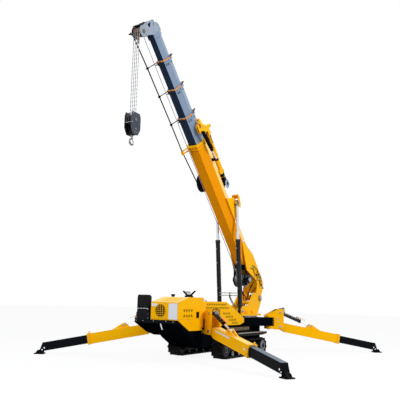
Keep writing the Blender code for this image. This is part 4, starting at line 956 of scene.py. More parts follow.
def turntable_fittings():
    """Pivot pins, cheek stiffeners, the slewing drive, valve blocks and the hoses between them."""
    heads, screws, beads, stiff = [], [], [], []
    for side in (1, -1):
        outer = side * 0.26
        head, held = pin_head(-0.68, 1.557, outer + side * 0.0365, side, 0.052)
        heads.append(head)
        screws.append(held)
        heads.append(on_face(outer, side, [(0, 0), (0, 0.082), (0.01, 0.082), (0.012, 0.076), (0.012, 0.0)],
            (-0.68, 0, 1.557), 30))
        screws.append(bolts([(x, outer + side * 0.012, z) for x, z in circle(6, 0.066, -0.68, 1.557)],
            (0, side, 0), 0.014))
        screws.append(bolts([(x, outer, z) for x, z in ((-0.5, 1.62), (0.1, 1.17), (0.36, 1.17), (0.6, 1.17),
            (-0.44, 1.14), (-0.1, 1.14))], (0, side, 0), 0.02))
        heads.append(round_bar(outer, outer + side * 0.003, 0.032, "Y", (-0.43, 0, 1.46), 22))
        edge = [(0.655, 1.29), (0.11, 1.295), (0.035, 1.32), (-0.295, 1.665), (-0.35, 1.694)]
        rim = []
        for (x0, z0), (x1, z1) in zip(edge, edge[1:]):
            along = Vector((x1 - x0, z1 - z0)).normalized()
            down = Vector((along.y, -along.x)) * -0.016
            rim.append(slab([(x0, z0), (x1, z1), (x1 - down.x, z1 - down.y), (x0 - down.x, z0 - down.y)],
                side * 0.212, side * 0.262))
        stiff += rim
        beads.append(bead([(0.65, side * 0.2615, 1.0905), (-0.54, side * 0.2615, 1.0905)]))
        beads.append(bead([(0.6, side * 0.2345, 1.0905), (-0.54, side * 0.2345, 1.0905)]))
        for x in (0.3, -0.12):
            stiff.append(slab([(side * 0.262, 1.086), (side * 0.385, 1.086), (side * 0.262, 1.2)], x,
                x + 0.012, "X"))
        foot_head, held = pin_head(0.73, 1.175, side * 0.412, side, 0.031, (-1.0, 0.0))
        heads.append(foot_head)
        screws.append(held)
    piece("pivot_pins_and_keepers", heads, "superstructure", ZINC)
    piece("turntable_bolts", screws, "superstructure", ZINC)
    piece("turntable_stiffeners", stiff, "superstructure", YELLOW)
    piece("turntable_welds", beads, "superstructure", YELLOW)
    bulkhead = [slab([(-0.31, 1.36), (-0.12, 1.36), (-0.09, 1.4), (-0.09, 1.455), (-0.31, 1.455)], -0.2345,
        0.2345)]
    piece("hose_bulkhead", bulkhead, "superstructure", YELLOW, bevel=0.005)
    drive = [turned([(1.087, 0), (1.087, 0.115), (1.105, 0.115), (1.108, 0.088), (1.17, 0.086),
        (1.176, 0.095), (1.19, 0.095), (1.194, 0.07), (1.285, 0.068), (1.292, 0.058), (1.292, 0)], "Z",
        (-0.06, 0.02, 0), 30), turned([(1.087, 0), (1.087, 0.07), (1.15, 0.07), (1.155, 0.045), (1.2, 0.045),
        (1.205, 0.03), (1.23, 0.03), (1.232, 0)], "Z", (0.22, -0.02, 0), 24)]
    piece("slewing_drive_and_rotary_joint", drive, "superstructure", BLACK)
    spots = [(x, y, 1.105) for x, y in circle(8, 0.102, -0.06, 0.02)]
    piece("slewing_drive_bolts", bolts(spots, (0, 0, 1), 0.016), "superstructure", ZINC)
    valves = [block((-0.24, -0.19, 1.087), (-0.14, 0.19, 1.1)),
        block((-0.225, 0.1, 1.1), (-0.155, 0.205, 1.215)),
        block((-0.225, -0.09, 1.1), (-0.155, 0.075, 1.185)),
        block((0.34, -0.14, 1.087), (0.46, 0.1, 1.165))]
    piece("valve_blocks", valves, "superstructure", SILVER, bevel=0.004)
    coils = []
    for y in (0.12, 0.155, 0.19):
        coils.append(turned([(1.214, 0), (1.214, 0.012), (1.262, 0.012), (1.264, 0.008), (1.27, 0.0)], "Z",
            (-0.19, y, 0), 14))
    piece("valve_solenoids", coils, "superstructure", BLACK)
    fittings = [banjo((-0.02 + 0.1 * (k % 2) - 0.2, -0.16 + 0.055 * k, 1.455), (0, 0, 1), 0.02)
        for k in range(7)]
    fittings += [banjo((0.4, y, 1.165), (0, 0, 1), 0.02) for y in (-0.1, -0.04, 0.03)]
    piece("turntable_hose_ends", fittings, "superstructure", ZINC)
    low = []
    for k in range(5):
        y = -0.13 + 0.06 * k
        low.append(hose([(-0.22, y, 1.362), (-0.22, y, 1.3), (-0.2 + 0.03 * k, y * 0.8, 1.22),
            (-0.12 + 0.05 * k, y * 0.6, 1.14), (0.16, y * 0.4 - 0.02, 1.12)], 0.01, 6))
    piece("turntable_hoses", low, "superstructure", HOSE)


def to_boom(x, y, z):
    """A point on the machine, in the boom's frame."""
    return (MACHINE.inverted() @ BOOM).inverted() @ Vector((x, y, z))


def foot_hoses():
    """Hoses from the turntable to the winch motor and round the boom's heel, with its web and valves."""
    lines = []
    ends = [(0.86, 0.165, -0.36), (0.9, 0.1, -0.34), (0.93, 0.02, -0.35), (0.96, -0.06, -0.34)]
    for k, (a, y, n) in enumerate(ends):
        start = to_boom(-0.22 + 0.1 * (k % 2), -0.05 + 0.055 * k, 1.492)
        below = start.lerp(Vector((a, y, n)), 0.45) + Vector((0.02, 0.0, -0.035))
        lines.append(hose([start, start.lerp(below, 0.4) + Vector((0.01, 0, 0.006)), below,
            Vector((a - 0.03, y, n - 0.05)), Vector((a, y, n + 0.03))], 0.01))
    obj = piece("winch_hoses", lines, None, HOSE, BOOM)
    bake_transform(obj)
    short = []
    for k, (a, y, n) in enumerate([(0.42, 0.12, 0.216), (0.34, 0.03, 0.186), (0.26, 0.15, 0.156)]):
        start, end = to_boom(-0.36 + 0.05 * k, -0.02 + 0.07 * k, 1.492), Vector((a, y, n))
        bowed = start.lerp(end, 0.5) + Vector((0.05, 0, -0.03))
        short.append(hose([start, start.lerp(bowed, 0.6) + Vector((0.01, 0, 0)), bowed,
            end - Vector((-0.01, 0, 0.05)), end], 0.011))
    obj = piece("heel_web_hoses", short, None, HOSE, BOOM)
    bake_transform(obj)
    over = []
    for k in range(3):
        y = 0.085 - 0.085 * k
        start = to_boom(-0.62, y, 1.33)
        over.append(hose([start, to_boom(-0.8, y, 1.4), to_boom(-0.905, y, 1.56), (0.0, y, 0.33),
            (0.13, y, 0.47), (0.4, y, 0.505), (0.8, y, 0.5)], 0.0105))
    obj = piece("heel_hoses", over, None, HOSE, BOOM)
    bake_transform(obj)
    near = []
    loops = [[(1.02, 0.2), (0.88, 0.3), (0.74, 0.27), (0.62, 0.36), (0.5, 0.31)],
        [(0.98, 0.34), (0.8, 0.43), (0.64, 0.45), (0.5, 0.41), (0.42, 0.45)],
        [(0.46, 0.3), (0.36, 0.4), (0.27, 0.34), (0.18, 0.42), (0.06, 0.4)],
        [(0.66, 0.26), (0.56, 0.47), (0.4, 0.5), (0.3, 0.44), (0.2, 0.3)]]
    for k, line in enumerate(loops):
        y = 0.2395 + 0.02 * (k % 2)
        near.append(hose([(a, y, n) for a, n in line], 0.0105))
    piece("heel_side_hoses", near, "boom", HOSE, BOOM)
    fittings = [banjo((a, 0.24 + 0.02 * (k % 2), n), d, 0.024)
        for k, (a, n, d) in enumerate(((1.02, 0.2, (0.7, 0, -0.6)), (0.5, 0.31, (-0.8, 0, -0.4)),
        (0.98, 0.34, (0.8, 0, -0.4)), (0.42, 0.45, (-0.8, 0, 0.4)), (0.46, 0.3, (0.6, 0, -0.7)),
        (0.06, 0.4, (-0.9, 0, -0.1)), (0.66, 0.26, (0.3, 0, -0.9)), (0.2, 0.3, (-0.4, 0, -0.9))))]
    piece("heel_side_hose_ends", fittings, "boom", ZINC, BOOM)
    web = [slab([(0.1, 0.1), (0.46, 0.235), (0.46, 0.255), (0.1, 0.122)], -0.199, 0.199),
        slab([(0.452, 0.24), (0.47, 0.24), (0.62, 0.42), (0.605, 0.43)], -0.199, 0.199)]
    piece("heel_cross_web", web, "boom", YELLOW, BOOM, bevel=0.002)
    clamps = [block((a - 0.016, 0.2265, n - 0.018), (a + 0.016, 0.252, n + 0.018))
        for a, n in ((0.74, 0.27), (0.64, 0.45), (0.27, 0.34))]
    piece("heel_hose_clamps", clamps, "boom", ORANGE, BOOM, bevel=0.003)
    ends = [banjo((0.86, 0.165, -0.345), (0, 0, 1), 0.022), banjo((0.9, 0.1, -0.325), (0, 0, 1), 0.022)]
    ends += [banjo((0.56, y, 0.28), (0.5, 0, 0.85), 0.026) for y in (0.165, 0.1, 0.02)]
    ends += [banjo((0.4, y, 0.37), (-0.3, 0, 0.9), 0.026) for y in (0.17, 0.09)]
    ends += [banjo((a, y, 0.262), (0, 0, 1), 0.026) for a, y in ((0.67, 0.16), (0.73, 0.1))]
    piece("heel_hose_ends", ends, "boom", ZINC, BOOM)
    manifold = [block((0.5, -0.14, 0.3), (0.62, 0.12, 0.4)), block((0.64, 0.06, 0.16), (0.76, 0.2, 0.26))]
    piece("heel_valve_blocks", manifold, "boom", SILVER, BOOM, bevel=0.004)


def winch():
    """The winch: silver motor and brake, gear case, bolts, and the rope wound on the drum."""
    a, n = 0.88, -0.18
    motor = [turned([(0.179, 0.0), (0.179, 0.1), (0.19, 0.1), (0.194, 0.088), (0.24, 0.086), (0.246, 0.094),
        (0.262, 0.094), (0.268, 0.07), (0.305, 0.066), (0.312, 0.052), (0.312, 0)], "Y", (a, 0, n), 34)]
    piece("winch_motor", motor, "boom", SILVER, BOOM)
    case = [turned([(-0.18, 0), (-0.18, 0.115), (-0.192, 0.118), (-0.2, 0.105), (-0.235, 0.095),
        (-0.245, 0.06), (-0.25, 0.0)], "Y", (a, 0, n), 30)]
    piece("winch_gear_case", case, "boom", BLACK, BOOM)
    spots = [(x, 0.19, z) for x, z in circle(8, 0.09, a, n)]
    far = [(x, -0.192, z) for x, z in circle(10, 0.106, a, n)]
    piece("winch_bolts", [bolts(spots, (0, 1, 0), 0.016), bolts(far, (0, -1, 0), 0.016)], "boom", ZINC,
        BOOM)
    brake = [block((0.862, 0.195, -0.375), (0.978, 0.262, -0.27)),
        block((0.888, 0.2, -0.29), (0.952, 0.255, -0.25))]
    piece("winch_counterbalance_valve", brake, "boom", SILVER, BOOM, bevel=0.005)
    radius, turns, width = 0.0092, 14, 0.262
    wound = []
    for layer, r in enumerate((0.1495, 0.1655)):
        path = []
        for i in range(turns * 26 + 1):
            t = 2 * pi * i / 26
            y = (width / 2) * (1 - 2 * i / (turns * 26)) * (1 if layer == 0 else -0.93)
            path.append((a + (r + radius) * cos(t), y, n - (r + radius) * sin(t)))
        wound.append(tube(path, radius, 8))
    piece("rope_on_drum", wound, "winch_drum", ROPE, BOOM)
    rims = [turned([(y, 0.165), (y, 0.2095), (y + 0.001 * s, 0.2105), (y + 0.004 * s, 0.205),
        (y + 0.003 * s, 0.17)], "Y", (a, 0, n), 40) for y, s in ((0.155, 1), (-0.155, -1))]
    piece("drum_flange_rims", rims, "winch_drum", STEEL, BOOM)


def luff_place():
    """The luff cylinders' frame, X up the cylinder from its foot, and the length between the pins."""
    tilt = radians(BOOM_TILT)
    a, n = LUFF_HEAD
    rise = Vector((BOOM_PIVOT[0] + a * cos(tilt) - n * sin(tilt) - LUFF_FOOT[0], 0,
        BOOM_PIVOT[2] + a * sin(tilt) + n * cos(tilt) - LUFF_FOOT[2]))
    turn = Matrix.Rotation(-atan2(rise.z, rise.x), 4, "Y")
    return MACHINE @ Matrix.Translation(LUFF_FOOT) @ turn, rise.length


def luff_cylinders():
    """Gland nuts, end caps, ports, steel pipes and the two hoses that hang from the cross pipes."""
    where, length = luff_place()
    bands, pipes, fittings, tubes = [], [], [], []
    for side in (1, -1):
        y = side * LUFF_Y
        tubes.append(turned([(0.2, 0), (0.13, 0), (0.13, 0.064), (2.02, 0.064), (2.02, 0.0435),
            (0.2, 0.0435), (0.2, 0)], "X", (0, y, 0), 36))
        tubes.append(slab([(0.0, -0.045), (0.14, -0.052), (0.14, 0.052), (0.0, 0.045)], y - 0.03, y + 0.03))
        tubes.append(turned([(y - 0.04, 0.0315), (y - 0.04, 0.066), (y - 0.037, 0.07), (y + 0.037, 0.07),
            (y + 0.04, 0.066), (y + 0.04, 0.0315), (y - 0.04, 0.0315)], "Y", (0, 0, 0), 32))
        bands.append(turned([(1.93, 0.0638), (1.93, 0.07), (1.94, 0.0725), (2.015, 0.0725), (2.022, 0.068),
            (2.022, 0.0435), (2.012, 0.043)], "X", (0, y, 0), 34))
        bands.append(turned([(0.125, 0.0), (0.125, 0.064), (0.135, 0.07), (0.185, 0.07), (0.195, 0.0638)],
            "X", (0, y, 0), 34))
        for s in (0.62, 1.0, 1.35, 1.75):
            bands.append(turned([(s, 0.0638), (s, 0.0665), (s + 0.03, 0.0665), (s + 0.03, 0.0638)], "X",
                (0, y, 0), 34))
        for s in (0.23, 1.88):
            bands.append(slab(oblong(s - 0.022, -0.095, s + 0.022, -0.055), y - 0.02, y + 0.02))
        pipes.append(hose([(1.88, y, -0.09), (1.86, y, -0.108), (1.8, y - side * 0.004, -0.108),
            (0.62, y - side * 0.004, -0.108), (0.54, y - side * 0.004, -0.1), (0.5, y - side * 0.02, -0.07)],
            0.0085, 5))
        pipes.append(hose([(0.23, y - side * 0.012, -0.09), (0.26, y - side * 0.012, -0.1),
            (0.36, y - side * 0.012, -0.1), (0.41, y - side * 0.02, -0.085), (0.43, y - side * 0.03, -0.06)],
            0.0085, 5))
        for s in (0.63, 1.36, 1.76):
            fittings.append(slab(oblong(s - 0.006, -0.12, s + 0.02, -0.062), y - 0.012 - side * 0.004,
                y + 0.012 - side * 0.004))
        holes = [(2.0225, u, v) for u, v in circle(6, 0.057, y)]
        fittings.append(bolts(holes, (1, 0, 0), 0.01, 0.3))
    barrels = piece("luff_barrel_tubes", tubes, "luff_barrels", BARREL_BLACK, where)
    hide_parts("luff_barrels")
    piece("luff_gland_and_bands", bands, "luff_barrels", BARREL_BLACK, where)
    piece("luff_steel_pipes", pipes, "luff_barrels", BLACK, where)
    piece("luff_clamps_and_bolts", fittings, "luff_barrels", ZINC, where)
    cross = []
    for s in (0.43, 0.5):
        cross.append(round_bar(-0.3, 0.3, 0.0125, "Y", (s, 0, -0.045), 14))
        cross.append(slab(oblong(s - 0.018, -0.063, s + 0.018, -0.027), 0.02, 0.075))
    piece("luff_cross_pipes", cross, "luff_barrels", ZINC, where)
    lines = []
    for k, s in enumerate((0.43, 0.5)):
        start = where @ Vector((s, 0.048, -0.064))
        low = MACHINE @ Vector((0.5 - 0.05 * k, 0.16 + 0.04 * k, 1.115))
        path = [start, start + Vector((0.02, 0, -0.05)),
            start.lerp(low, 0.35) + Vector((0.035 + 0.02 * k, 0, -0.06)),
            start.lerp(low, 0.7) + Vector((0.01, 0, -0.03)), low + Vector((0.02, 0, 0.06)), low]
        lines.append(hose(path, 0.0105))
    obj = piece("luff_hoses", lines, None, HOSE, Matrix())
    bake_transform(obj)
    ends = [banjo((0.5 - 0.05 * k, 0.16 + 0.04 * k, 1.09), (0, 0, 1), 0.022) for k in range(2)]
    piece("luff_hose_ends", ends, "superstructure", ZINC)
    wipers, bushes = [], []
    for side in (1, -1):
        y = side * LUFF_Y
        for edge in (y - 0.0405, y + 0.0405):
            out = 1 if edge > y else -1
            bushes.append(on_face(edge, out, [(-0.002, 0.034), (0, 0.036), (0, 0.05), (-0.002, 0.0545)],
                (length, 0, 0), 26))
        wipers.append(turned([(length - 0.105, 0.0425), (length - 0.095, 0.052), (length - 0.055, 0.055),
            (length - 0.045, 0.05)], "X", (0, y, 0), 28))
    piece("luff_rod_bushes", bushes, "luff_rods", STEEL, where)
    piece("luff_rod_necks", wipers, "luff_rods", STEEL, where)


def outline_of(width, depth, grow=0.0):
    """A boom section's six corners (y, n), from the lower right round to the left."""
    w, d = width / 2 + grow, depth / 2 + grow
    return [(-0.62 * w, CENTRE_N - d), (0.62 * w, CENTRE_N - d), (w, CENTRE_N), (0.62 * w, CENTRE_N + d),
        (-0.62 * w, CENTRE_N + d), (-w, CENTRE_N)]


def band(width, depth, inner, outer, low, high, corners):
    """A band round some corners of a section, from low to high along the boom."""
    near = outline_of(width, depth, inner)
    far = outline_of(width, depth, outer)
    shapes = []
    for i, j in zip(corners, corners[1:]):
        shapes.append(slab([near[i], near[j], far[j], far[i]], low, high, "X"))
    return joined(shapes)


def facet(width, depth, side, upper):
    """The frame of one sloping face: X along the boom, Y from its widest line to the flat, Z out of it."""
    w, d = width / 2, depth / 2
    across = Vector((0, -side * 0.38 * w, upper * d)).normalized()
    out = Vector((0, side * d, upper * 0.38 * w)).normalized()
    turn = Matrix(((1, 0, 0), (0, across.y, out.y), (0, across.z, out.z))).to_4x4()
    return BOOM @ Matrix.Translation((0, side * w, CENTRE_N)) @ turn


def boom_base_fittings():
    """Weld seams, the bare plate, jib lugs, pad screws, the collar's ears and the luff pin's bosses."""
    width, depth = BASE_SECTION
    ring = outline_of(width, depth, 0.001)
    beads = [bead([(1.1, y, n), (5.22, y, n)], 0.004) for y, n in (ring[2], ring[5])]
    for a in (1.062, 5.228):
        around = [*ring, ring[0]]
        beads.append(bead([(a, y, n) for y, n in around], 0.0045))
    for side in (1, -1):
        low = [(0.21, -0.036), (0.3, 0.124), (0.36, 0.204), (0.45, 0.239), (0.62, 0.194), (0.9, 0.064),
            (1.12, -0.026)]
        beads.append(bead([(a, side * 0.2275, n) for a, n in low], 0.003))
        beads.append(bead([(a, side * 0.2275, n) for a, n in ((1.3, 0.033), (1.9, 0.262), (1.9, 0.358),
            (1.2, 0.587))], 0.004))
    piece("boom_base_welds", beads, "boom", YELLOW, BOOM)
    mouth = band(width, depth, -0.012, 0.01, 1.046, 1.078, [0, 1, 2, 3, 4, 5, 0])
    piece("boom_base_rear_frame", mouth, "boom", YELLOW, BOOM, bevel=0.002)
    lips = [band(width, depth, 0.018, 0.034, 5.305, 5.352, [0, 1, 2, 3, 4, 5, 0]),
        band(width, depth, 0.004, 0.03, 5.225, 5.245, [0, 1, 2, 3, 4, 5, 0])]
    piece("boom_base_collar_lips", lips, "boom", YELLOW, BOOM, bevel=0.002)
    where = facet(width, depth, 1, 1)
    sheet = slab(oblong(1.4, 0.045, 1.91, 0.165), 0.0, 0.0035, "Z")
    piece("boom_bare_plate", sheet, "boom", WHITE_PLATE, where, bevel=0.0012)
    spots = [(a, v, 0.0035) for a in (1.415, 1.895) for v in (0.06, 0.15)]
    piece("boom_bare_plate_rivets", bolts(spots, (0, 0, 1), 0.009, 0.3), "boom", ZINC, where)
    marks, stops = [], []
    for side in (1, -1):
        for upper in (1, -1):
            where = facet(width, depth, side, upper)
            spots = [(a, v, 0.021) for a in (5.275, 5.335) for v in (0.06, 0.23)]
            marks.append(placed(bolts(spots, (0, 0, 1), 0.018), BOOM.inverted() @ where))
            for a in (2.3, 4.72):
                marks.append(placed(turned([(0, 0), (0, 0.016), (0.005, 0.016), (0.006, 0.012), (0.006, 0)],
                    "Z", (a, 0.14, 0), 16), BOOM.inverted() @ where))
        for a in (4.1, 5.05):
            stops.append(slab([(a - 0.03, 0.586), (a + 0.15, 0.586), (a + 0.12, 0.625), (a, 0.625)],
                side * 0.105, side * 0.125))
    piece("boom_base_pad_screws", marks, "boom", ZINC, BOOM)
    piece("jib_lugs_on_boom", stops, "boom", YELLOW, BOOM, bevel=0.002)
    ears = []
    for a in (5.262, 5.34):
        ears.append(slab([(-0.15, 0.01), (-0.02, 0.01), (-0.165, -0.175), (-0.205, -0.19), (-0.235, -0.17)],
            a, a + 0.01, "X"))
    ears.append(turned([(5.255, 0.034), (5.262, 0.04), (5.345, 0.04), (5.352, 0.034), (5.352, 0.024),
        (5.255, 0.024), (5.255, 0.034)], "X", (0, -0.2, -0.205), 24))
    piece("collar_guide_ears", ears, "boom", YELLOW, BOOM, bevel=0.0015)
    heads, screws = [], []
    for side in (1, -1):
        boss = on_face(0, side, [(0.222, 0.07), (0.262, 0.068), (0.2635, 0.062)],
            (LUFF_HEAD[0], 0, LUFF_HEAD[1]), 28)
        heads.append(boss)
        far = side * 0.394
        heads.append(on_face(far, side, [(0, 0), (0, 0.048), (0.005, 0.048), (0.006, 0.034), (0.014, 0.033),
            (0.016, 0.028), (0.016, 0)], (LUFF_HEAD[0], 0, LUFF_HEAD[1]), 26))
        screws.append(bolts([(a, far, n) for a, n in ((3.05, 0.64), (3.235, 0.7))], (0, side, 0), 0.02))
    piece("luff_pin_bosses", heads, "boom", ZINC, BOOM)
    piece("luff_bracket_bolts", screws, "boom", ZINC, BOOM)


HOSE_LINE = [(5.4, -0.205), (6.22, -0.2), (6.98, -0.213), (7.74, -0.224), (8.36, -0.255)]
ROPE_LINE = [(1.29, -0.25), (5.4, -0.196), (6.22, -0.184), (6.98, -0.174), (7.74, -0.163), (8.6, -0.151)]
CARRIERS = ["boom", "stage_1", "stage_2", "stage_3", "stage_4"]


def stage_collars():
    """At each stage's front: the orange front lip, black guide bars with orange tips, pad screws and the
    arm that holds the hose ring."""
    for k, (body, width, depth, front) in enumerate(STAGES[:3]):
        lip = band(width, depth, 0.018, 0.03, front - 0.03, front + 0.002, [5, 0, 1, 2])
        piece(f"collar_lip_{k + 1}", lip, body, ORANGE, BOOM, bevel=0.002)
        top = band(width, depth, 0.018, 0.029, front - 0.028, front + 0.001, [2, 3, 4, 5])
        high = CENTRE_N + depth / 2
        w = width / 2
        bars = [top]
        tips = []
        for side in (1, -1):
            y = side * 0.62 * w
            bars.append(slab(oblong(y - 0.016, high - 0.1, y + 0.016, high + 0.085), front - 0.024,
                front - 0.002, "X"))
            bars.append(slab(oblong(y - 0.022, high + 0.022, y + 0.022, high + 0.05), front - 0.04,
                front + 0.004, "X"))
            tips.append(slab([(y - 0.017, high + 0.085), (y + 0.017, high + 0.085),
                (y + 0.012, high + 0.108), (y - 0.012, high + 0.108)], front - 0.025, front - 0.001, "X"))
        arm_y, arm_n = -0.2, HOSE_LINE[k + 1][1]
        low = CENTRE_N - depth / 2
        bars.append(slab([(-0.06, low - 0.018), (-0.1, low - 0.018), (arm_y - 0.006, arm_n + 0.04),
            (arm_y + 0.012, arm_n + 0.03)], front - 0.022, front - 0.006, "X"))
        bars.append(turned([(front - 0.036, 0.03), (front - 0.032, 0.034), (front + 0.006, 0.034),
            (front + 0.01, 0.03), (front + 0.01, 0.02), (front - 0.036, 0.02), (front - 0.036, 0.03)], "X",
            (0, arm_y, arm_n), 22))
        bars.append(slab(oblong(-0.012, low - 0.018, 0.012, ROPE_LINE[k + 2][1] + 0.015), front - 0.022,
            front - 0.01, "X"))
        piece(f"collar_guides_{k + 1}", bars, body, BLACK, BOOM, bevel=0.0015)
        piece(f"collar_guide_tips_{k + 1}", tips, body, ORANGE, BOOM, bevel=0.0015)
        screws = []
        for side in (1, -1):
            for upper in (1, -1):
                where = BOOM.inverted() @ facet(width, depth, side, upper)
                reach = (depth / 2) * 1.05
                spots = [(front - 0.06, v * reach, 0.021) for v in (0.25, 0.75)]
                screws.append(placed(bolts(spots, (0, 0, 1), 0.016), where))
                plates = [slab(oblong(front - 0.17, u * reach, front - 0.125, u * reach + 0.03), -0.001,
                    0.003, "Z") for u in (0.35, 0.65)]
                screws.append(placed(joined(plates), where))
        piece(f"collar_pad_screws_{k + 1}", screws, body, GREY, BOOM)


def taut_hose(start, end, count=8):
    """A straight run of the reel's hose."""
    return tube([start.lerp(end, i / count) for i in range(count + 1)], REEL_HOSE_RADIUS, 12)


def boom_lines():
    """The hoist rope and the reel's hose under the boom. Each length runs from one section's guide to the
    next."""
    drum = (0.88, -0.18)
    out = 0.1685
    turn = radians(-76)
    leaves = (drum[0] + out * cos(turn), 0.0, drum[1] + out * sin(turn))
    piece("rope_from_drum", rope(leaves, (ROPE_LINE[0][0], 0, ROPE_LINE[0][1]), ROPE_RADIUS), "boom", ROPE,
        BOOM)
    piece("rope_under_base", rope((ROPE_LINE[0][0], 0, ROPE_LINE[0][1]),
        (ROPE_LINE[1][0], 0, ROPE_LINE[1][1]), ROPE_RADIUS), "boom", ROPE, BOOM)
    centre, radius = (4.05, 0.3), 0.232
    on_reel = Vector((centre[0] + radius * cos(radians(-101.7)), REEL_Y,
        centre[1] + radius * sin(radians(-101.7))))
    guide = Vector((HOSE_LINE[0][0], HOSE_Y, HOSE_LINE[0][1]))
    piece("reel_hose_to_guide", taut_hose(on_reel, guide, 12), "boom", HOSE, BOOM)
    for k in range(4):
        lower, upper = CARRIERS[k], CARRIERS[k + 1]
        for name, line, y, made in (("rope", ROPE_LINE[1:], 0.0, ROPE), ("hose", HOSE_LINE, HOSE_Y, HOSE)):
            start, end = [Vector((a, y, n)) for a, n in line[k:k + 2]]
            shape = rope(start, end, ROPE_RADIUS) if name == "rope" else taut_hose(start, end)
            obj = piece(f"{name}_to_{upper}", shape, None, made, BOOM)
            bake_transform(obj)
    to_head = curve_through([(8.36, -0.2, -0.255), (8.535, -0.2, -0.266), (8.605, -0.2, -0.3),
        (8.635, -0.2, -0.345)])
    piece("hose_to_head", tube(to_head, REEL_HOSE_RADIUS, 12), "stage_4", HOSE, BOOM)
    roller = [turned([(-0.05, 0), (-0.05, 0.045), (-0.035, 0.045), (-0.03, 0.034), (0.03, 0.034),
        (0.035, 0.045), (0.05, 0.045), (0.05, 0)], "Y", (1.29, 0, -0.205), 24)]
    piece("rope_guide_roller", roller, "boom", STEEL, BOOM)
    hanger = [slab([(1.235, 0.028), (1.345, 0.028), (1.325, -0.225), (1.3, -0.245), (1.27, -0.235)],
        s * 0.055, s * 0.065) for s in (1, -1)]
    piece("rope_guide_hanger", hanger, "boom", BLACK, BOOM, bevel=0.002)
    turn_reel = []
    for layer in range(5):
        r = 0.135 + 0.0225 * layer
        for k in (-1, 0, 1):
            y = REEL_Y + k * 0.0225
            ring = [(centre[0] + r * cos(t * pi / 20), y, centre[1] + r * sin(t * pi / 20))
                for t in range(41)]
            turn_reel.append(tube(ring, 0.0112, 8, capped=False))
    piece("hose_on_reel", turn_reel, "hose_reel", HOSE, BOOM)
    spokes = []
    for k in range(6):
        t = k * pi / 3
        bar = slab([(0.055, -0.012), (0.245, -0.008), (0.245, 0.008), (0.055, 0.012)], -0.356, -0.35)
        spokes.append(placed(bar, shifted((centre[0], 0, centre[1]), t, "Y")))
    spokes.append(turned([(-0.35, 0.26), (-0.354, 0.2605), (-0.357, 0.255), (-0.356, 0.24), (-0.35, 0.236)],
        "Y", (centre[0], 0, centre[1]), 44))
    spokes.append(turned([(-0.35, 0.075), (-0.372, 0.07), (-0.376, 0.055), (-0.376, 0.0)], "Y",
        (centre[0], 0, centre[1]), 28))
    piece("reel_spokes_and_spring_case", spokes, "hose_reel", BLACK, BOOM)


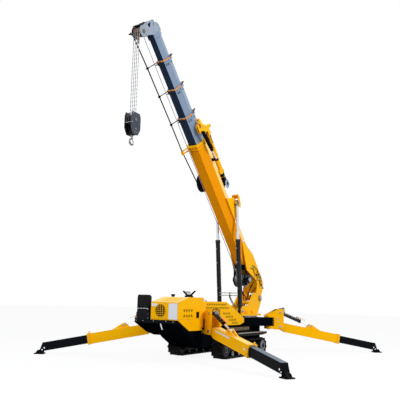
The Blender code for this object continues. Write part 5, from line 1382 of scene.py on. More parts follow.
def head():
    """The boom's head: windowed side plates, keeper rods, brown nylon sheaves and the rope over them."""
    a, n = SHEAVE
    plate = [(8.3803, 0.14), (8.3803, 0.478), (8.5, 0.475), (8.565, 0.448), (8.61, 0.39), (8.64, 0.312),
        (8.69, 0.318), (8.716, 0.262), (8.738, 0.05), (8.74, -0.1)]
    plate += arc((a, n), 0.145, 28, -155, 12) + [(8.46, -0.12)]
    # The side plates are in slate, a painted reflection of the sky on their dark enamel
    plates = piece("head_side_plates", [slab(plate, s * 0.114, s * 0.128) for s in (1, -1)], "stage_4",
        SLATE, BOOM)
    window = [(8.668, 0.004), (8.686, 0.02), (8.688, 0.14), (8.676, 0.154), (8.58, 0.054), (8.59, 0.038)]
    slot = [(8.56, 0.218), (8.572, 0.204), (8.694, 0.292), (8.686, 0.308)]
    cut_out(plates, [slab(window, -0.2, 0.2), slab(slot, -0.2, 0.2)], BOOM)
    rounded(plates, 0.003)
    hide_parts("boom_head")
    # Painted shade: thin sheets in the unlit finish on the plates' inner faces, where the head is in shadow
    screens = joined([slab(plate, s * 0.1125, s * 0.1138) for s in (1, -1)])
    piece("head_inner_painted_shade", screens, "stage_4", DARK, BOOM)
    frame_parts = [block((8.3803, -0.114, 0.16), (8.4, 0.114, 0.46)),
        slab([(8.69, 0.04), (8.722, 0.04), (8.706, 0.245), (8.676, 0.245)], -0.128, 0.114),
        slab(oblong(8.738, -0.1, 8.758, -0.2), -0.16, 0.114),
        slab([(8.44, 0.452), (8.55, 0.446), (8.55, 0.458), (8.44, 0.464)], -0.114, 0.114),
        slab([(8.47, -0.1), (8.5, -0.02), (8.512, -0.024), (8.482, -0.105)], -0.114, 0.114)]
    frame_parts += [round_bar(-0.114, 0.114, 0.008, "Y", (a + 0.125 * cos(radians(t)), 0,
        n + 0.125 * sin(radians(t))), 12) for t in (100, 60)]
    piece("head_cross_plates_and_guard", frame_parts, "stage_4", BLACK, BOOM, bevel=0.0015)
    screws, pins = [], []
    for side in (1, -1):
        y = side * 0.128
        pins.append(on_face(y, side, [(0, 0.052), (0.006, 0.052), (0.008, 0.044), (0.018, 0.042),
            (0.021, 0.036), (0.021, 0)], (a, 0, n), 28))
        screws.append(bolts([(u, y, v) for u, v in ((8.42, 0.2), (8.42, 0.42), (8.53, 0.42), (8.6, 0.34),
            (8.71, -0.05), (8.5, -0.2), (8.55, -0.05))], (0, side, 0), 0.022))
        screws.append(bolts([(a + 0.036 * k, y + side * 0.006, n + 0.075) for k in (-1, 1)], (0, side, 0),
            0.014))
    piece("head_pins", pins, "stage_4", RUSTED, BOOM)
    piece("head_bolts", screws, "stage_4", ZINC, BOOM)
    wheels = []
    for k in range(4):
        y = (k - 1.5) * SHEAVE_GAP
        wheels.append(turned([(y - 0.0255, 0.0285), (y - 0.0255, 0.048), (y - 0.017, 0.052),
            (y - 0.013, 0.085), (y - 0.02, 0.098), (y - 0.021, 0.1095), (y - 0.016, 0.11),
            (y - 0.0085, 0.094), (y, 0.0895), (y + 0.0085, 0.094), (y + 0.016, 0.11), (y + 0.021, 0.1095),
            (y + 0.02, 0.098), (y + 0.013, 0.085), (y + 0.017, 0.052), (y + 0.0255, 0.048),
            (y + 0.0255, 0.0285)], "Y", (a, 0, n), 40))
    sheaves = piece("nylon_sheaves", wheels, "stage_4", NYLON, BOOM)
    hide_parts("head_sheaves")
    over = []
    down = radians(BOOM_TILT)
    for k in range(4):
        y = (k - 1.5) * SHEAVE_GAP
        turns = [-down + radians(6 * i) for i in range(30)]
        over.append(tube([(a + FALL_X * cos(t), y, n + FALL_X * sin(t)) for t in turns], ROPE_RADIUS, 10, 6,
            0.1))
    piece("rope_over_sheaves", over, "stage_4", ROPE, BOOM)
    clip = [banjo((8.63, -0.2, -0.349), (0.4, 0, -0.9), 0.026),
        slab([(8.615, -0.36), (8.645, -0.345), (8.66, -0.3), (8.63, -0.29)], -0.215, -0.128)]
    piece("head_hose_end", clip, "stage_4", BLACK, BOOM)
    lamp_box = [block((8.46, -0.2, 0.22), (8.6, -0.1285, 0.34)),
        block((8.5, -0.19, 0.34), (8.56, -0.14, 0.365))]
    piece("angle_sensor_box", lamp_box, "stage_4", PLASTIC, BOOM, bevel=0.006)


def hang_place():
    """The falls' frame, plumb below the head's sheaves, X across to the falls."""
    centre = BOOM @ Vector((SHEAVE[0], 0, SHEAVE[1]))
    return Matrix.Translation(centre)


FALL_X, FALL_LENGTH = 0.0993, 2.01
BLOCK_TOP = -FALL_LENGTH - 0.0093
BLOCK_HIGH = 0.525


def hoist_rope():
    """Four falls of stranded rope, and the wedge socket that holds its end."""
    where = hang_place()
    falls = joined([rope((FALL_X, (k - 1.5) * SHEAVE_GAP, 0), (FALL_X, (k - 1.5) * SHEAVE_GAP,
        BLOCK_TOP - 0.045), ROPE_RADIUS, 0.014) for k in range(4)])
    obj = piece("hoist_rope_falls", falls, None, ROPE, where)
    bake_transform(obj)
    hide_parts("hoist_falls")
    socket = [slab([(0.012, -0.105), (0.06, -0.105), (0.056, -0.19), (0.034, -0.285), (0.006, -0.285),
        (0.0, -0.19)], -0.021, 0.021)]
    piece("rope_wedge_socket", socket, "hang", RUSTED, where, bevel=0.004)
    pin = round_bar(-0.04, 0.04, 0.013, "Y", (0.036, 0, -0.125), 18)
    piece("wedge_socket_pin", pin, "hang", ZINC, where)


def hook_block():
    """The block: two octagonal cheeks bolted over four sheaves, cheek weights and the hook's crosshead."""
    where = hang_place() @ Matrix.Translation((FALL_X, 0, BLOCK_TOP))
    h, w = BLOCK_HIGH, 0.17
    outline = [(-0.8 * w, 0), (0.8 * w, 0), (w, -0.1), (w, -0.72 * h), (0.5 * w, -h), (-0.5 * w, -h),
        (-w, -0.72 * h), (-w, -0.1)]
    cheeks = piece("hook_block_cheeks", [slab(outline, s * 0.0915, s * 0.1) for s in (1, -1)], "hook_block",
        BLOCK_PAINT, where, bevel=0.003)
    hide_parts("hook_block")
    weights = [slab([(-0.145, -0.275), (0.145, -0.275), (0.145, -0.365), (0.07, -0.475), (-0.07, -0.475),
        (-0.145, -0.365)], s * 0.064, s * 0.0912) for s in (1, -1)]
    weights.append(slab(oblong(-0.06, -0.405, 0.06, -0.52), -0.064, 0.064))
    piece("block_weights_and_crosshead", weights, "hook_block", BLACK, where, bevel=0.006)
    wheels = []
    for k in range(4):
        y = (k - 1.5) * SHEAVE_GAP
        wheels.append(turned([(y - 0.01, 0.02), (y - 0.01, 0.122), (y - 0.007, 0.125), (y, 0.108),
            (y + 0.007, 0.125), (y + 0.01, 0.122), (y + 0.01, 0.02)], "Y", (0, 0, -0.165), 36))
    piece("block_sheaves", wheels, "hook_block", STEEL, where)
    ties, heads = [], []
    for x, z in ((-0.118, -0.035), (0.118, -0.035), (-0.148, -0.255), (0.148, -0.255), (0.0, -0.385)):
        ties.append(round_bar(-0.092, 0.092, 0.012, "Y", (x, 0, z), 14))
        for side in (1, -1):
            heads.append(hex_bolt((x, side * 0.1, z), (0, side, 0), 0.024, 0.5))
    for side in (1, -1):
        y = side * 0.1
        ties.append(on_face(y, side, [(0, 0), (0, 0.04), (0.004, 0.04), (0.005, 0.03), (0.012, 0.028),
            (0.013, 0)], (0, 0, -0.165), 26))
        heads.append(bolts([(x, y, -0.46) for x in (-0.035, 0.035)], (0, side, 0), 0.02))
    piece("block_ties_and_axle", ties, "hook_block", STEEL, where)
    piece("block_bolts", heads, "hook_block", ZINC, where)


def hook():
    """The forged hook: a swelling, tapering section drawn round the throat, its shank and spring latch."""
    base = BLOCK_TOP - BLOCK_HIGH - 0.0006
    where = hang_place() @ Matrix.Translation((FALL_X, 0, base))
    rows, sides = 34, 16
    points, faces = [], []
    for i in range(rows + 1):
        t = i / rows
        outer_turn, inner_turn = radians(100 - 260 * t), radians(81 - 228 * t)
        outer = Vector((0.085 * cos(outer_turn), 0, -0.155 + 0.085 * sin(outer_turn)))
        inner = Vector((0.006 + 0.048 * cos(inner_turn), 0, -0.15 + 0.048 * sin(inner_turn)))
        middle, half = (outer + inner) / 2, (outer - inner) / 2
        thick = 0.026 * (0.72 + 0.28 * sin(pi * min(1, t * 1.35))) * (1 - 0.3 * max(0, t - 0.6) / 0.4)
        if t > 0.93:
            shrink = 1 - ((t - 0.93) / 0.07) ** 2 * 0.75
            half, thick = half * shrink, thick * shrink
        for k in range(sides):
            s = 2 * pi * k / sides
            points.append(middle + half * cos(s) + Vector((0, thick * sin(s) * (1 + 0.18 * cos(s)), 0)))
        if i:
            a, b = (i - 1) * sides, i * sides
            faces += [(a + k, a + (k + 1) % sides, b + (k + 1) % sides, b + k) for k in range(sides)]
    faces += [tuple(range(sides)), tuple(range(rows * sides, rows * sides + sides))]
    shank = turned([(0.0, 0.0), (0.0, 0.031), (-0.016, 0.031), (-0.02, 0.027), (-0.05, 0.025),
        (-0.08, 0.026), (-0.095, 0.018), (-0.095, 0.0)], "Z", (0, 0, 0), 26)
    forging = piece("forged_hook", [(points, faces), shank], "hook", STEEL, where, angle=50)
    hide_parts("hook")
    latch = slab([(-0.022, -0.072), (-0.016, -0.076), (-0.062, -0.172), (-0.069, -0.168)], -0.0135, 0.0135)
    spring = round_bar(-0.019, 0.019, 0.008, "Y", (-0.017, 0, -0.072), 16)
    piece("hook_safety_latch", [latch, spring], "hook", ZINC, where, bevel=0.001)


def jib():
    """The folded fly jib: its tubes, brackets and fork, the chain and hoses along it, and its cylinder."""
    tubes = [turned([(3.96, 0), (3.96, 0.07), (3.975, 0.07), (3.98, 0.052), (4.62, 0.052), (4.625, 0.064),
        (4.65, 0.064), (4.655, 0.045), (4.8, 0.045)], "X", (0, 0.13, 0.715), 28),
        turned([(4.6, 0.0), (4.6, 0.052), (4.62, 0.06), (4.66, 0.06), (4.67, 0.055), (5.33, 0.055),
        (5.335, 0.069), (5.36, 0.069), (5.365, 0.04), (5.42, 0.04), (5.42, 0)], "X", (0, 0.15, 0.76), 28),
        turned([(4.05, 0.0), (4.05, 0.036), (5.2, 0.036), (5.2, 0.044), (5.22, 0.044), (5.22, 0)], "X",
        (0, 0.13, 0.808), 22)]
    main = piece("fly_jib_tubes", tubes, "boom", YELLOW, BOOM)
    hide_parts("jib_beam")
    brackets = []
    for a, w in ((4.1, 0.11), (4.5, 0.03), (4.72, 0.03), (5.06, 0.1), (5.26, 0.03)):
        brackets.append(slab([(0.07, 0.653), (0.2, 0.653), (0.212, 0.7), (0.205, 0.79), (0.165, 0.842),
            (0.1, 0.842), (0.072, 0.8)], a, a + w * 0.3, "X"))
    for a in (4.1, 5.05):
        brackets.append(block((a, 0.085, 0.591), (a + 0.12, 0.195, 0.7)))
    for s in (1, -1):
        brackets.append(slab([(5.34, 0.66), (5.46, 0.66), (5.5, 0.72), (5.49, 0.8), (5.43, 0.835),
            (5.36, 0.83)], 0.14 + s * 0.05 - 0.006, 0.14 + s * 0.05 + 0.006))
    piece("fly_jib_brackets", brackets, "boom", YELLOW, BOOM, bevel=0.003)
    grey = [slab([(3.62, 0.6), (3.78, 0.6), (3.84, 0.66), (3.83, 0.76), (3.76, 0.82), (3.64, 0.8),
        (3.59, 0.7)], y, y + 0.012) for y in (0.065, 0.195)]
    piece("fly_jib_grey_lugs", grey, "boom", SLATE, BOOM, bevel=0.003)
    dark = [block((3.7, 0.08, 0.655), (4.06, 0.192, 0.765)), block((3.72, 0.09, 0.592), (3.8, 0.18, 0.66)),
        round_bar(0.055, 0.217, 0.045, "Y", (3.72, 0, 0.71), 24)]
    piece("fly_jib_foot_joint", dark, "boom", BLACK, BOOM, bevel=0.006)
    spots = [(4.115, 0.2125, 0.72), (5.075, 0.2125, 0.72), (5.38, 0.197, 0.7), (5.45, 0.197, 0.7),
        (3.66, 0.207, 0.72)]
    piece("fly_jib_bolts", bolts(spots, (0, 1, 0), 0.022), "boom", ZINC, BOOM)
    links = []
    for k in range(30):
        at = shifted((4.02 + 0.045 * k, 0.13, 0.845), pi / 2 * (k % 2), "X")
        loop = [(0.029 * cos(t * pi / 6), 0.012 * sin(t * pi / 6), 0) for t in range(13)]
        links.append(placed(tube(loop, 0.0045, 6, capped=False), at))
    piece("fly_jib_chain", links, "boom", STEEL, BOOM)
    hoses = [hose([(5.4, 0.1, 0.8), (5.3, 0.08, 0.845), (5.0, 0.085, 0.85), (4.6, 0.09, 0.847),
        (4.3, 0.09, 0.845), (4.08, 0.1, 0.8)], 0.009, 6, 8),
        hose([(5.28, 0.19, 0.8), (5.24, 0.222, 0.74), (5.16, 0.236, 0.7), (5.06, 0.215, 0.74),
        (5.02, 0.18, 0.8)], 0.009, 6, 8)]
    piece("fly_jib_hoses", hoses, "boom", HOSE, BOOM)
    fittings = [banjo((5.36, 0.12, 0.828), (0.6, 0.2, 0.8), 0.026),
        banjo((5.02, 0.18, 0.805), (0, 0.4, -0.9), 0.024), banjo((5.3, 0.2, 0.79), (0.5, 0.5, 0.5), 0.024)]
    piece("fly_jib_hose_ends", fittings, "boom", ZINC, BOOM)
    fork = [(5.6, 0.19), (5.8, 0.2), (5.86, 0.235), (5.8, 0.27), (5.715, 0.275), (5.7, 0.325), (5.74, 0.36),
        (5.9, 0.335), (5.965, 0.375), (5.93, 0.42), (5.76, 0.47), (5.655, 0.58), (5.585, 0.76), (5.53, 0.81),
        (5.485, 0.7), (5.49, 0.5), (5.565, 0.36), (5.585, 0.27)]
    plate = piece("fly_jib_fork", [slab(fork, 0.2205, 0.236), slab(fork, 0.27, 0.286)], "boom", YELLOW, BOOM,
        bevel=0.003)
    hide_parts("jib_head")
    ribs = [slab([(5.3, 0.66), (5.3, 0.78), (5.52, 0.79), (5.52, 0.66)], 0.2205, 0.236),
        slab([(5.5, 0.55), (5.52, 0.55), (5.56, 0.72), (5.54, 0.74)], 0.235, 0.271),
        turned([(0.235, 0), (0.235, 0.058), (0.25, 0.062), (0.29, 0.062), (0.294, 0.055), (0.294, 0)], "Y",
        (5.7, 0, 0.42), 28), turned([(0.24, 0), (0.24, 0.04), (0.292, 0.04), (0.294, 0)], "Y",
        (5.86, 0, 0.32), 22), turned([(0.235, 0), (0.235, 0.045), (0.292, 0.045), (0.294, 0)], "Y",
        (5.54, 0, 0.78), 22)]
    piece("fly_jib_head_ribs", ribs, "boom", YELLOW, BOOM, bevel=0.002)
    caps = bolts([(5.7, 0.294, 0.42), (5.86, 0.294, 0.32), (5.54, 0.294, 0.78), (5.6, 0.285, 0.55),
        (5.76, 0.285, 0.25)], (0, 1, 0), 0.03)
    piece("fly_jib_head_pins", caps, "boom", ZINC, BOOM)
    start, end = Vector((5.6, 0.335, 0.27)), Vector((4.63, 0.335, 0.42))
    along = Matrix.Translation(start) @ (end - start).to_track_quat("X", "Z").to_matrix().to_4x4()
    cylinder = [turned([(-0.002, 0), (-0.002, 0.042), (0.03, 0.044), (0.035, 0.0402)], "X", sides=24),
        turned([(0.56, 0.0402), (0.565, 0.045), (0.612, 0.045), (0.622, 0.04), (0.622, 0.0225)], "X",
        sides=24)]
    piece("jib_cylinder_collars", placed(joined(cylinder), along), "boom", BLACK, BOOM)
    rod = [turned([(0.622, 0.0222), (0.93, 0.0224), (0.935, 0.0)], "X", sides=24)]
    piece("jib_cylinder_rod", placed(joined(rod), along), "boom", CHROME, BOOM)
    beside = [tube([(0.07, s * 0.052, 0.012), (0.3, s * 0.056, 0.012), (0.55, s * 0.052, 0.012)], 0.012, 8)
        for s in (1, -1)]
    piece("jib_cylinder_hoses", placed(joined(beside), along), "boom", HOSE, BOOM)
    ends = [placed(round_bar(-0.036, 0.036, 0.034, "Y", sides=20), along @ Matrix.Translation((s, 0, 0)))
        for s in (0.0, 0.94)]
    piece("jib_cylinder_eyes", ends, "boom", BLACK, BOOM, bevel=0.002)
    piece("jib_cylinder_ports", placed(joined([banjo((s, 0, 0.04), (0, 0, 1), 0.02) for s in (0.08, 0.54)]),
        along), "boom", ZINC, BOOM)


# Outriggers

def leg_frames(name):
    """A leg's frames: its post, its arm down the slope, its lift cylinder and its level foot, with the
    cylinder's length between pins and the foot's distance from the hinge."""
    post_x, side, azimuth, arm, pin_s, shown = LEGS[name][:6]
    post = MACHINE @ Matrix.Translation((post_x, side * 0.6, 0)) @ Matrix.Rotation(radians(azimuth), 4, "Z")
    reach = arm + shown
    slope = atan2(0.72 - 0.15, reach)
    hinge = post @ Matrix.Translation(HINGE) @ Matrix.Rotation(slope, 4, "Y")
    rise = Vector((pin_s * cos(slope) + 0.2 * sin(slope), 0, -pin_s * sin(slope) + 0.2 * cos(slope) - 0.42))
    lift = post @ Matrix.Translation(LIFT_PIN) @ Matrix.Rotation(atan2(-rise.z, rise.x), 4, "Y")
    foot = hinge @ Matrix.Rotation(-slope, 4, "Y")
    return post, hinge, lift, foot, rise.length, reach * cos(slope)


def knuckle_fittings(name, post):
    """The swing post's cap, both pins with keepers, weld seams, edge stiffeners and grease nipples."""
    body = name + "_knuckle"
    side = LEGS[name][1]
    steel = [turned([(1.026, 0), (1.026, 0.062), (1.036, 0.062), (1.04, 0.058), (1.04, 0.036),
        (1.048, 0.034), (1.048, 0)], "Z", (0, 0, 0), 28),
        turned([(0.6595, 0), (0.6595, 0.058), (0.65, 0.058), (0.646, 0.05), (0.646, 0)], "Z", (0, 0, 0),
        26)]
    screws = [bolts([(0.048 * cos(k * pi / 2 + 0.4), 0.048 * sin(k * pi / 2 + 0.4), 1.04) for k in range(4)],
        (0, 0, 1), 0.014)]
    beads = []
    for out in (1, -1):
        face = out * 0.14
        for z, r in ((0.72, 0.033), (1.14, 0.025)):
            head, held = pin_head(0.33, z, face, out, r, (-1.0, 0.0))
            steel.append(head)
            screws.append(held)
        beads.append(bead([(0.17, out * 0.1405, 1.0265), (-0.045, out * 0.1405, 1.0265)], 0.004))
        beads.append(bead([(0.13, out * 0.1405, 0.7395), (0.13, out * 0.1405, 0.985)], 0.004))
        beads.append(bead([(0.185, out * 0.1405, 0.6585), (-0.02, out * 0.1405, 0.6585)], 0.004))
        beads.append(slab([(-0.125, 1.0262), (0.21, 1.0262), (0.29, 1.234), (0.262, 1.236)], out * 0.118,
            out * 0.139))
        rim = [slab([(0.285, 1.238), (0.415, 1.243), (0.415, 1.228), (0.29, 1.224)], out * 0.1, out * 0.143),
            slab([(-0.128, 1.03), (0.262, 1.238), (0.254, 1.248), (-0.14, 1.037)], out * 0.112,
            out * 0.143)]
        beads += rim
        boss = [on_face(face, out, [(-0.002, 0.03), (-0.002, 0.062), (0.003, 0.062), (0.005, 0.056),
            (0.005, 0.03)], (0.33, 0, z), 28) for z in (0.72, 1.14)]
        beads += boss
    if "rear" in name:
        screws.append(bolts([(0.21 + 0.07 * i, -side * 0.14, 0.86 + 0.1 * j) for i in (0, 1)
            for j in (0, 1)], (0, -side, 0), 0.026))
    else:
        screws.append(bolts([(0.22, -side * 0.14, 0.82), (0.22, -side * 0.14, 0.95)], (0, -side, 0), 0.022))
    nipples = [turned([(0, 0), (0, 0.006), (0.006, 0.006), (0.008, 0.0035), (0.016, 0.0035), (0.019, 0.0045),
        (0.022, 0.0)], "Z", at, 10) for at in ((0.025, -0.02, 1.047), (0.33, 0.06, 1.163),
        (0.33, -0.06, 1.163))]
    piece(name + "_knuckle_pins", steel, body, ZINC, post)
    piece(name + "_knuckle_screws", screws + nipples, body, ZINC, post)
    piece(name + "_knuckle_welds_and_bosses", beads, body, YELLOW, post, bevel=0.001)
    # The web between the two cheeks, with its round hole, and the swing lock pin
    web = piece(name + "_knuckle_web", slab(oblong(-0.114, 0.79, 0.114, 0.965), 0.1485, 0.1585, "X"), body,
        YELLOW, post, bevel=0.002)
    cut_out(web, round_bar(0.14, 0.17, 0.04, "X", (0, 0, 0.878), 28), post)
    lock = [turned([(1.026, 0), (1.026, 0.013), (1.06, 0.013), (1.062, 0.01), (1.062, 0)], "Z",
        (-0.085, side * 0.055, 0), 16), tube([(-0.085, side * 0.055, 1.06), (-0.085, side * 0.055, 1.085),
        (-0.085, side * 0.085, 1.092), (-0.085, side * 0.105, 1.092)], 0.005, 8)]
    piece(name + "_swing_lock_pin", lock, body, ZINC, post)


def arm_fittings(name, hinge):
    """Seams along the box, the collar with its wear pads, pin, bosses, lifting eye and bare strips."""
    side, _, arm, pin_s = LEGS[name][1:5]
    body = name + "_arm"
    seams = [bead([(0.17, y * 0.0995, z * 0.1245), (arm - 0.072, y * 0.0995, z * 0.1245)], 0.0042)
        for y in (1, -1) for z in (1, -1)]
    around = [(y * 0.1005, z * 0.1255) for y, z in ((1, 1), (-1, 1), (-1, -1), (1, -1), (1, 1))]
    seams.append(bead([(arm - 0.0715, y, z) for y, z in around], 0.005))
    for y in (0.0425, 0.0595, -0.0425, -0.0595):
        seams.append(bead([(pin_s - 0.165, y, 0.1255), (pin_s + 0.345, y, 0.1255)], 0.0042))
    collar = []
    for s in (arm - 0.07, arm - 0.012):
        for i in range(4):
            (y0, z0), (y1, z1) = [(y * 0.112, z * 0.137) for y, z in ((1, 1), (-1, 1), (-1, -1), (1, -1),
                (1, 1))[i:i + 2]]
            quad = [(y0, z0), (y1, z1), (y1 * 1.036, z1 * 1.03), (y0 * 1.036, z0 * 1.03)]
            collar.append(slab(quad, s, s + 0.012, "X"))
    band_at = 0.165
    ring = [(0.1005, 0.1255), (-0.1005, 0.1255), (-0.1005, -0.1255), (0.1005, -0.1255)]
    for (y0, z0), (y1, z1) in zip(ring, ring[1:] + ring[:1]):
        collar.append(slab([(y0, z0), (y1, z1), (y1 * 1.045, z1 * 1.036), (y0 * 1.045, z0 * 1.036)], band_at,
            band_at + 0.018, "X"))
    bosses, heads, screws = [], [], []
    for out in (1, -1):
        bosses.append(on_face(0, out, [(0.058, 0.03), (0.058, 0.052), (0.066, 0.052), (0.068, 0.048),
            (0.068, 0.013)], (pin_s, 0, 0.2), 28))
        bosses.append(on_face(0, out, [(0.0995, 0.03), (0.0995, 0.068), (0.106, 0.068), (0.109, 0.062),
            (0.109, 0.03)], (0, 0, 0), 30))
        heads.append(on_face(0, out, [(0.068, 0), (0.068, 0.028), (0.074, 0.028), (0.078, 0.023),
            (0.078, 0)], (pin_s, 0, 0.2), 26))
        for z in (0.062, -0.062):
            screws.append(bolts([(s, out * 0.112, z) for s in (arm - 0.048, arm - 0.022)], (0, out, 0),
                0.013))
        screws.append(bolts([(arm - 0.035, out * 0.055, 0.137)], (0, 0, 1), 0.016))
        screws.append(bolts([(pin_s + 0.028, out * 0.06, 0.168)], (0, out, 0), 0.016))
        heads.append(on_face(0, out, [(0.1, 0), (0.1, 0.011), (0.106, 0.011), (0.107, 0)],
            (arm - 0.36, 0, 0.0), 16))
    eye = on_face(0, side, [(0.052, 0.013), (0.052, 0.028), (0.068, 0.028), (0.068, 0.013), (0.052, 0.013)],
        (arm - 0.035, 0, 0.164), 22)
    eye_foot = block((arm - 0.06, side * 0.06 - 0.007, 0.135), (arm - 0.01, side * 0.06 + 0.007, 0.15))
    piece(name + "_arm_seams", seams, body, YELLOW, hinge)
    lifting = [eye, eye_foot] if "front" in name else []
    piece(name + "_arm_bands_and_bosses", collar + bosses + lifting, body, YELLOW, hinge, bevel=0.0012)
    piece(name + "_arm_pins", heads, body, ZINC, hinge)
    piece(name + "_arm_screws", screws, body, ZINC, hinge)
    near = -side * 0.1
    strip = slab(oblong(0.24, 0.05, pin_s + 0.14, 0.088), near, near - side * 0.0022)
    mark = slab(oblong(arm - 0.2, -0.018, arm - 0.125, 0.02), near, near - side * 0.0022)
    if name == "front_left":
        piece(name + "_bare_strips", [strip, mark], body, WHITE_PLATE, hinge, bevel=0.0008)
    pads = [block((arm - 0.0005, -0.06, 0.1066), (arm + 0.007, 0.06, 0.13)),
        block((arm - 0.0005, -0.06, -0.13), (arm + 0.007, 0.06, -0.1066))]
    for out in (1, -1):
        pads.append(block((arm - 0.0005, out * 0.0836, -0.07), (arm + 0.007, out * 0.106, 0.07)))
    piece(name + "_arm_wear_pads", pads, body, NYLON, hinge, bevel=0.001)


def lift_cylinder_fittings(name, post, lift, length):
    """Gland nut, base, ports, steel pipe, valve block with its fittings, guard strip and the feed hoses."""
    barrel = LEGS[name][6]
    body = name + "_lift_barrel"
    metal = [turned([(barrel - 0.045, 0.0455), (barrel - 0.043, 0.0515), (barrel + 0.001, 0.0515),
        (barrel + 0.006, 0.047), (barrel + 0.006, 0.0262)], "X", (0, 0, 0), 32),
        turned([(0.018, 0), (0.018, 0.05), (0.04, 0.05), (0.048, 0.0455)], "X", (0, 0, 0), 30)]
    for s in (0.5 * barrel, 0.78 * barrel):
        metal.append(turned([(s, 0.0455), (s, 0.0482), (s + 0.018, 0.0482), (s + 0.018, 0.0455)], "X",
            (0, 0, 0), 30))
    metal.append(block((barrel - 0.105, -0.017, 0.035), (barrel - 0.062, 0.017, 0.066)))
    piece(name + "_lift_gland_and_base", metal, body, BLACK, lift, bevel=0.0012)
    block_parts = [block((0.065, -0.034, 0.04), (0.15, 0.034, 0.088)),
        block((0.08, -0.022, 0.086), (0.132, 0.022, 0.112)),
        turned([(0.033, 0), (0.033, 0.014), (0.052, 0.014), (0.056, 0.01), (0.056, 0)], "Y",
        (0.108, 0, 0.064), 16), turned([(-0.033, 0), (-0.033, 0.014), (-0.052, 0.014), (-0.056, 0.01),
        (-0.056, 0)], "Y", (0.108, 0, 0.064), 16)]
    piece(name + "_lift_valve_block", block_parts, body, SILVER, lift, bevel=0.003)
    pipe = hose([(0.148, 0.012, 0.07), (0.19, 0.012, 0.072), (0.24, 0.008, 0.0615), (0.4, 0.008, 0.059),
        (barrel - 0.16, 0.008, 0.059), (barrel - 0.115, 0.006, 0.073), (barrel - 0.09, 0.004, 0.078),
        (barrel - 0.082, 0.0, 0.062)], 0.0068, 6)
    piece(name + "_lift_steel_pipe", pipe, body, ZINC, lift)
    small = [banjo((0.092, 0.0, 0.111), (0, 0, 1), 0.016), banjo((0.12, 0.0, 0.111), (0, 0, 1), 0.016)]
    small += [slab(oblong(s - 0.01, 0.046, s + 0.01, 0.069), -0.004, 0.02)
        for s in (0.5 * barrel + 0.009, 0.78 * barrel + 0.009)]
    piece(name + "_lift_fittings", small, body, ZINC, lift, bevel=0.001)
    strip = [slab([(barrel - 0.16, 0.096), (barrel + 0.1, 0.096), (barrel + 0.125, 0.088),
        (barrel + 0.125, 0.083), (barrel + 0.1, 0.09), (barrel - 0.16, 0.09)], -0.034, 0.034)]
    strip += [slab(oblong(s, 0.044, s + 0.018, 0.092), y, y + 0.005) for s in (barrel - 0.15, barrel - 0.03)
        for y in (-0.034, 0.029)]
    piece(name + "_lift_guard_strip", strip, body, ORANGE, lift, bevel=0.0012)
    neck = [turned([(length - 0.085, 0.0238), (length - 0.078, 0.032), (length - 0.045, 0.034),
        (length - 0.035, 0.03)], "X", (0, 0, 0), 26)]
    for out in (1, -1):
        neck.append(on_face(0, out, [(0.0335, 0.028), (0.0335, 0.038), (0.0352, 0.037), (0.0352, 0.028)],
            (length, 0, 0), 24))
    piece(name + "_lift_rod_neck", neck, name + "_lift_rod", STEEL, lift)
    to_post = post.inverted() @ lift
    lines, feet = [], []
    for k in (1, -1):
        start = Vector((0.11, k * 0.055, 1.03))
        end = to_post @ Vector((0.106 - k * 0.014, 0.0, 0.142))
        path = [start, start + Vector((0.01, 0, 0.07)), start + Vector((0.055, -k * 0.01, 0.17)),
            end + Vector((-0.085, k * 0.022, 0.02)), end + Vector((-0.03, k * 0.008, 0.042)), end]
        lines.append(hose(path, 0.0085, 7))
        feet.append(banjo(start, (0, 0, 1), 0.018))
    piece(name + "_hose_feet", feet, name + "_knuckle", ZINC, post)
    obj = piece(name + "_lift_hoses", lines, None, HOSE, post)
    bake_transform(obj)


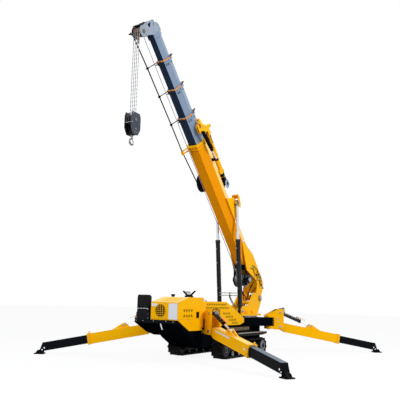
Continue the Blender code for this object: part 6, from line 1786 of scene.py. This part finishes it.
def foot_fittings(name, hinge, foot, toe_x):
    """The beam's end plate and pins, the foot's cheeks and the ribbed, rimmed ground pad."""
    arm, _, shown = LEGS[name][3:6]
    body = name + "_beam"
    tip = arm + shown - 0.03
    steel, dark = [], []
    for out in (1, -1):
        for s, z, r in ((tip - 0.115, -0.03, 0.021), (tip - 0.055, -0.068, 0.017)):
            steel.append(on_face(0, out, [(0.0815, 0), (0.0815, r), (0.09, r), (0.093, r * 0.8), (0.093, 0)],
                (s, 0, z), 22))
        dark.append(slab([(tip - 0.162, -0.1), (tip - 0.01, -0.1), (tip - 0.01, -0.058), (tip - 0.1, 0.085),
            (tip - 0.162, 0.085)], out * 0.0815, out * 0.0865))
        dark.append(round_bar(out * 0.0818, out * 0.0824, 0.024, "Y", (tip - 0.3, 0, 0), 20))
    dark.append(slab([(tip - 0.0005, -0.1045), (tip + 0.006, -0.1045), (tip + 0.006, -0.06),
        (tip - 0.086, 0.109), (tip - 0.092, 0.104), (tip - 0.0005, -0.058)], -0.081, 0.081))
    piece(name + "_beam_end_plates", dark, body, BLACK, hinge, bevel=0.0015)
    piece(name + "_beam_pins", steel, body, CHROME, hinge)
    ground = -0.72
    base = ground + 0.02
    ribs = []
    for out in (1, -1):
        ribs.append(slab([(toe_x - 0.13, base), (toe_x + 0.085, base), (toe_x + 0.03, base + 0.08),
            (toe_x - 0.1, base + 0.08)], out * 0.05, out * 0.06))
        ribs.append(slab([(out * 0.058, base), (out * 0.104, base), (out * 0.058, base + 0.052)],
            toe_x - 0.075, toe_x - 0.065, "X"))
        ribs.append(slab([(out * 0.058, base), (out * 0.104, base), (out * 0.058, base + 0.052)],
            toe_x + 0.02, toe_x + 0.03, "X"))
        ribs.append(block((toe_x - 0.136, out * 0.1, base), (toe_x + 0.0985, out * 0.1095, base + 0.008)))
    for x in (toe_x - 0.136, toe_x + 0.09):
        ribs.append(block((x, -0.1095, base), (x + 0.0085, 0.1095, base + 0.008)))
    piece(name + "_pad_ribs_and_rim", ribs, body, BLACK, foot, bevel=0.0012)
    spots = [(toe_x + u, v, base) for u in (-0.11, 0.07) for v in (-0.08, 0.08)]
    piece(name + "_pad_bolts", bolts(spots, (0, 0, 1), 0.018), body, ZINC, foot)
    sole = slab(oblong(toe_x - 0.134, ground + 0.0005, toe_x + 0.097, ground + 0.006), -0.1105, 0.1105)
    piece(name + "_rubber_sole", sole, body, RUBBER, foot)


def outriggers():
    """The four legs, each drawn in its own frames."""
    for name in LEGS:
        post, hinge, lift, foot, length, toe_x = leg_frames(name)
        knuckle_fittings(name, post)
        arm_fittings(name, hinge)
        lift_cylinder_fittings(name, post, lift, length)
        foot_fittings(name, hinge, foot, toe_x)


# Seat

def pad(name, half, height, channels, where, body="root"):
    """A sewn seat pad: crowned over its foam, its sides pulled in between the corners, sunk along its sewn
    channels and flat underneath. Z points out of the pad's face, and the channels run along X."""
    count = 44
    a, b = half

    def spot(u, v):
        x = a * u * (1 - 0.075 * v ** 8) * (1 - 0.035 * (1 - v * v))
        y = b * v * (1 - 0.075 * u ** 8) * (1 - 0.035 * (1 - u * u))
        return x, y

    points, faces = [], []
    turns = [sin(pi / 2 * (2 * i / count - 1)) for i in range(count + 1)]
    for u in turns:
        for v in turns:
            x, y = spot(u, v)
            crown = (1 - abs(u) ** 5) ** 0.55 * (1 - abs(v) ** 5) ** 0.55
            z = height * (0.7 + 0.3 * crown)
            for at in channels:
                z -= 0.011 * exp(-((v - at) / 0.055) ** 2) * (1 - u ** 10)
            points.append(Vector((x, y, z)))
    wide = count + 1
    for i in range(count):
        for j in range(count):
            faces.append((i * wide + j, (i + 1) * wide + j, (i + 1) * wide + j + 1, i * wide + j + 1))
    edge = [(i, 0) for i in range(count)] + [(count, j) for j in range(count)]
    edge += [(i, count) for i in range(count, 0, -1)] + [(0, j) for j in range(count, 0, -1)]
    row = [i * wide + j for i, j in edge]
    seam_top = [points[k].copy() for k in row]
    for level in (0.86, 0.66, 0.44, 0.22, 0.08, 0.0):
        after = []
        for k, (i, j) in zip(row, edge):
            x, y = spot(turns[i], turns[j])
            swell = 1 + 0.022 * sin(pi * level) - (0.02 if level == 0 else 0)
            after.append(len(points))
            points.append(Vector((x * swell, y * swell, height * 0.7 * level)))
        faces += [(row[k], row[(k + 1) % len(row)], after[(k + 1) % len(row)], after[k])
            for k in range(len(row))]
        row = after
    faces.append(tuple(row))
    obj = piece(name, (points, faces), body, VINYL, where, angle=70, subdivide=1)
    low = [Vector((p.x * 1.012, p.y * 1.012, height * 0.1)) for p in seam_top]
    piping = [tube([*line, line[0]], 0.0036, 8, capped=False) for line in (seam_top, low)]
    piece(name + "_piping", piping, body, VINYL, where)
    return obj


def operator_seat():
    """The folding seat: moulded back shell and pan on a box, two sewn pads, a grab bar and its brackets."""
    x0, x1, y0, y1 = 3.895, 4.325, -0.585, -0.205
    stand = piece("seat_box", block((x0, y0, 0.976), (x1, y1, 1.12)), "root", PLASTIC)
    cuts = [block((x1 - 0.004, y0 - 0.01, 1.03), (x1 + 0.01, y1 + 0.01, 1.0335)),
        block((x0 + 0.09, y0 - 0.01, 1.0), (x0 + 0.0935, y0 + 0.004, 1.13)),
        block((x1 - 0.1, y0 - 0.01, 1.0), (x1 - 0.0965, y0 + 0.004, 1.13))]
    cut_out(stand, cuts)
    rounded(stand, 0.006, 3)
    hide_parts("seat")
    pan = [slab([(3.8, 1.1195), (4.325, 1.1195), (4.325, 1.14), (3.81, 1.14), (3.795, 1.15), (3.79, 1.144)],
        -0.573, -0.217)]
    piece("seat_pan", pan, "root", PLASTIC, bevel=0.003)
    shell = [slab([(4.268, 1.135), (4.325, 1.135), (4.325, 1.47), (4.315, 1.52), (4.29, 1.543),
        (4.262, 1.543), (4.258, 1.52)], -0.562, -0.228)]
    shell += [slab([(4.322, 1.18), (4.3275, 1.19), (4.3275, 1.45), (4.322, 1.46)], y, y + 0.014)
        for y in (-0.5, -0.402, -0.304)]
    piece("seat_back_shell", shell, "root", PLASTIC, bevel=0.01)
    pad("seat_cushion", (0.196, 0.172), 0.094, (-0.52, 0.0, 0.52),
        MACHINE @ Matrix.Translation((3.995, -0.395, 1.14)))
    upright = Matrix(((0, 0, -1), (0, 1, 0), (1, 0, 0))).to_4x4()
    pad("seat_back_pad", (0.176, 0.16), 0.088, (-0.5, 0.0, 0.5),
        MACHINE @ Matrix.Translation((4.262, -0.395, 1.35)) @ upright)
    bar = hose([(4.3, -0.545, 1.15), (4.318, -0.545, 1.2), (4.3185, -0.53, 1.222), (4.3185, -0.4, 1.224),
        (4.3185, -0.26, 1.222), (4.318, -0.245, 1.2), (4.3, -0.245, 1.15)], 0.0085, 8, 12)
    piece("seat_silver_bar", bar, "root", CHROME)
    brackets = [block((4.29, y - 0.012, 1.136), (4.3245, y + 0.012, 1.16)) for y in (-0.545, -0.245)]
    piece("seat_bar_brackets", brackets, "root", ZINC, bevel=0.002)
    spots = [(4.325, y, z) for y in (-0.56, -0.23) for z in (1.005, 1.095)]
    piece("seat_box_screws", bolts(spots, (1, 0, 0), 0.014, 0.35), "root", ZINC)
    latch = [block((4.323, -0.43, 1.075), (4.3275, -0.36, 1.1))]
    piece("seat_box_latch", latch, "root", BLACK, bevel=0.001)


undercarriage()
steps_and_deck()
bonnet_shell()
bonnet_fittings()
control_stand()
side_covers()
platform_fittings()
turntable_fittings()
foot_hoses()
winch()
luff_cylinders()
boom_base_fittings()
stage_collars()
boom_lines()
head()
hoist_rope()
hook_block()
hook()
jib()
outriggers()
operator_seat()
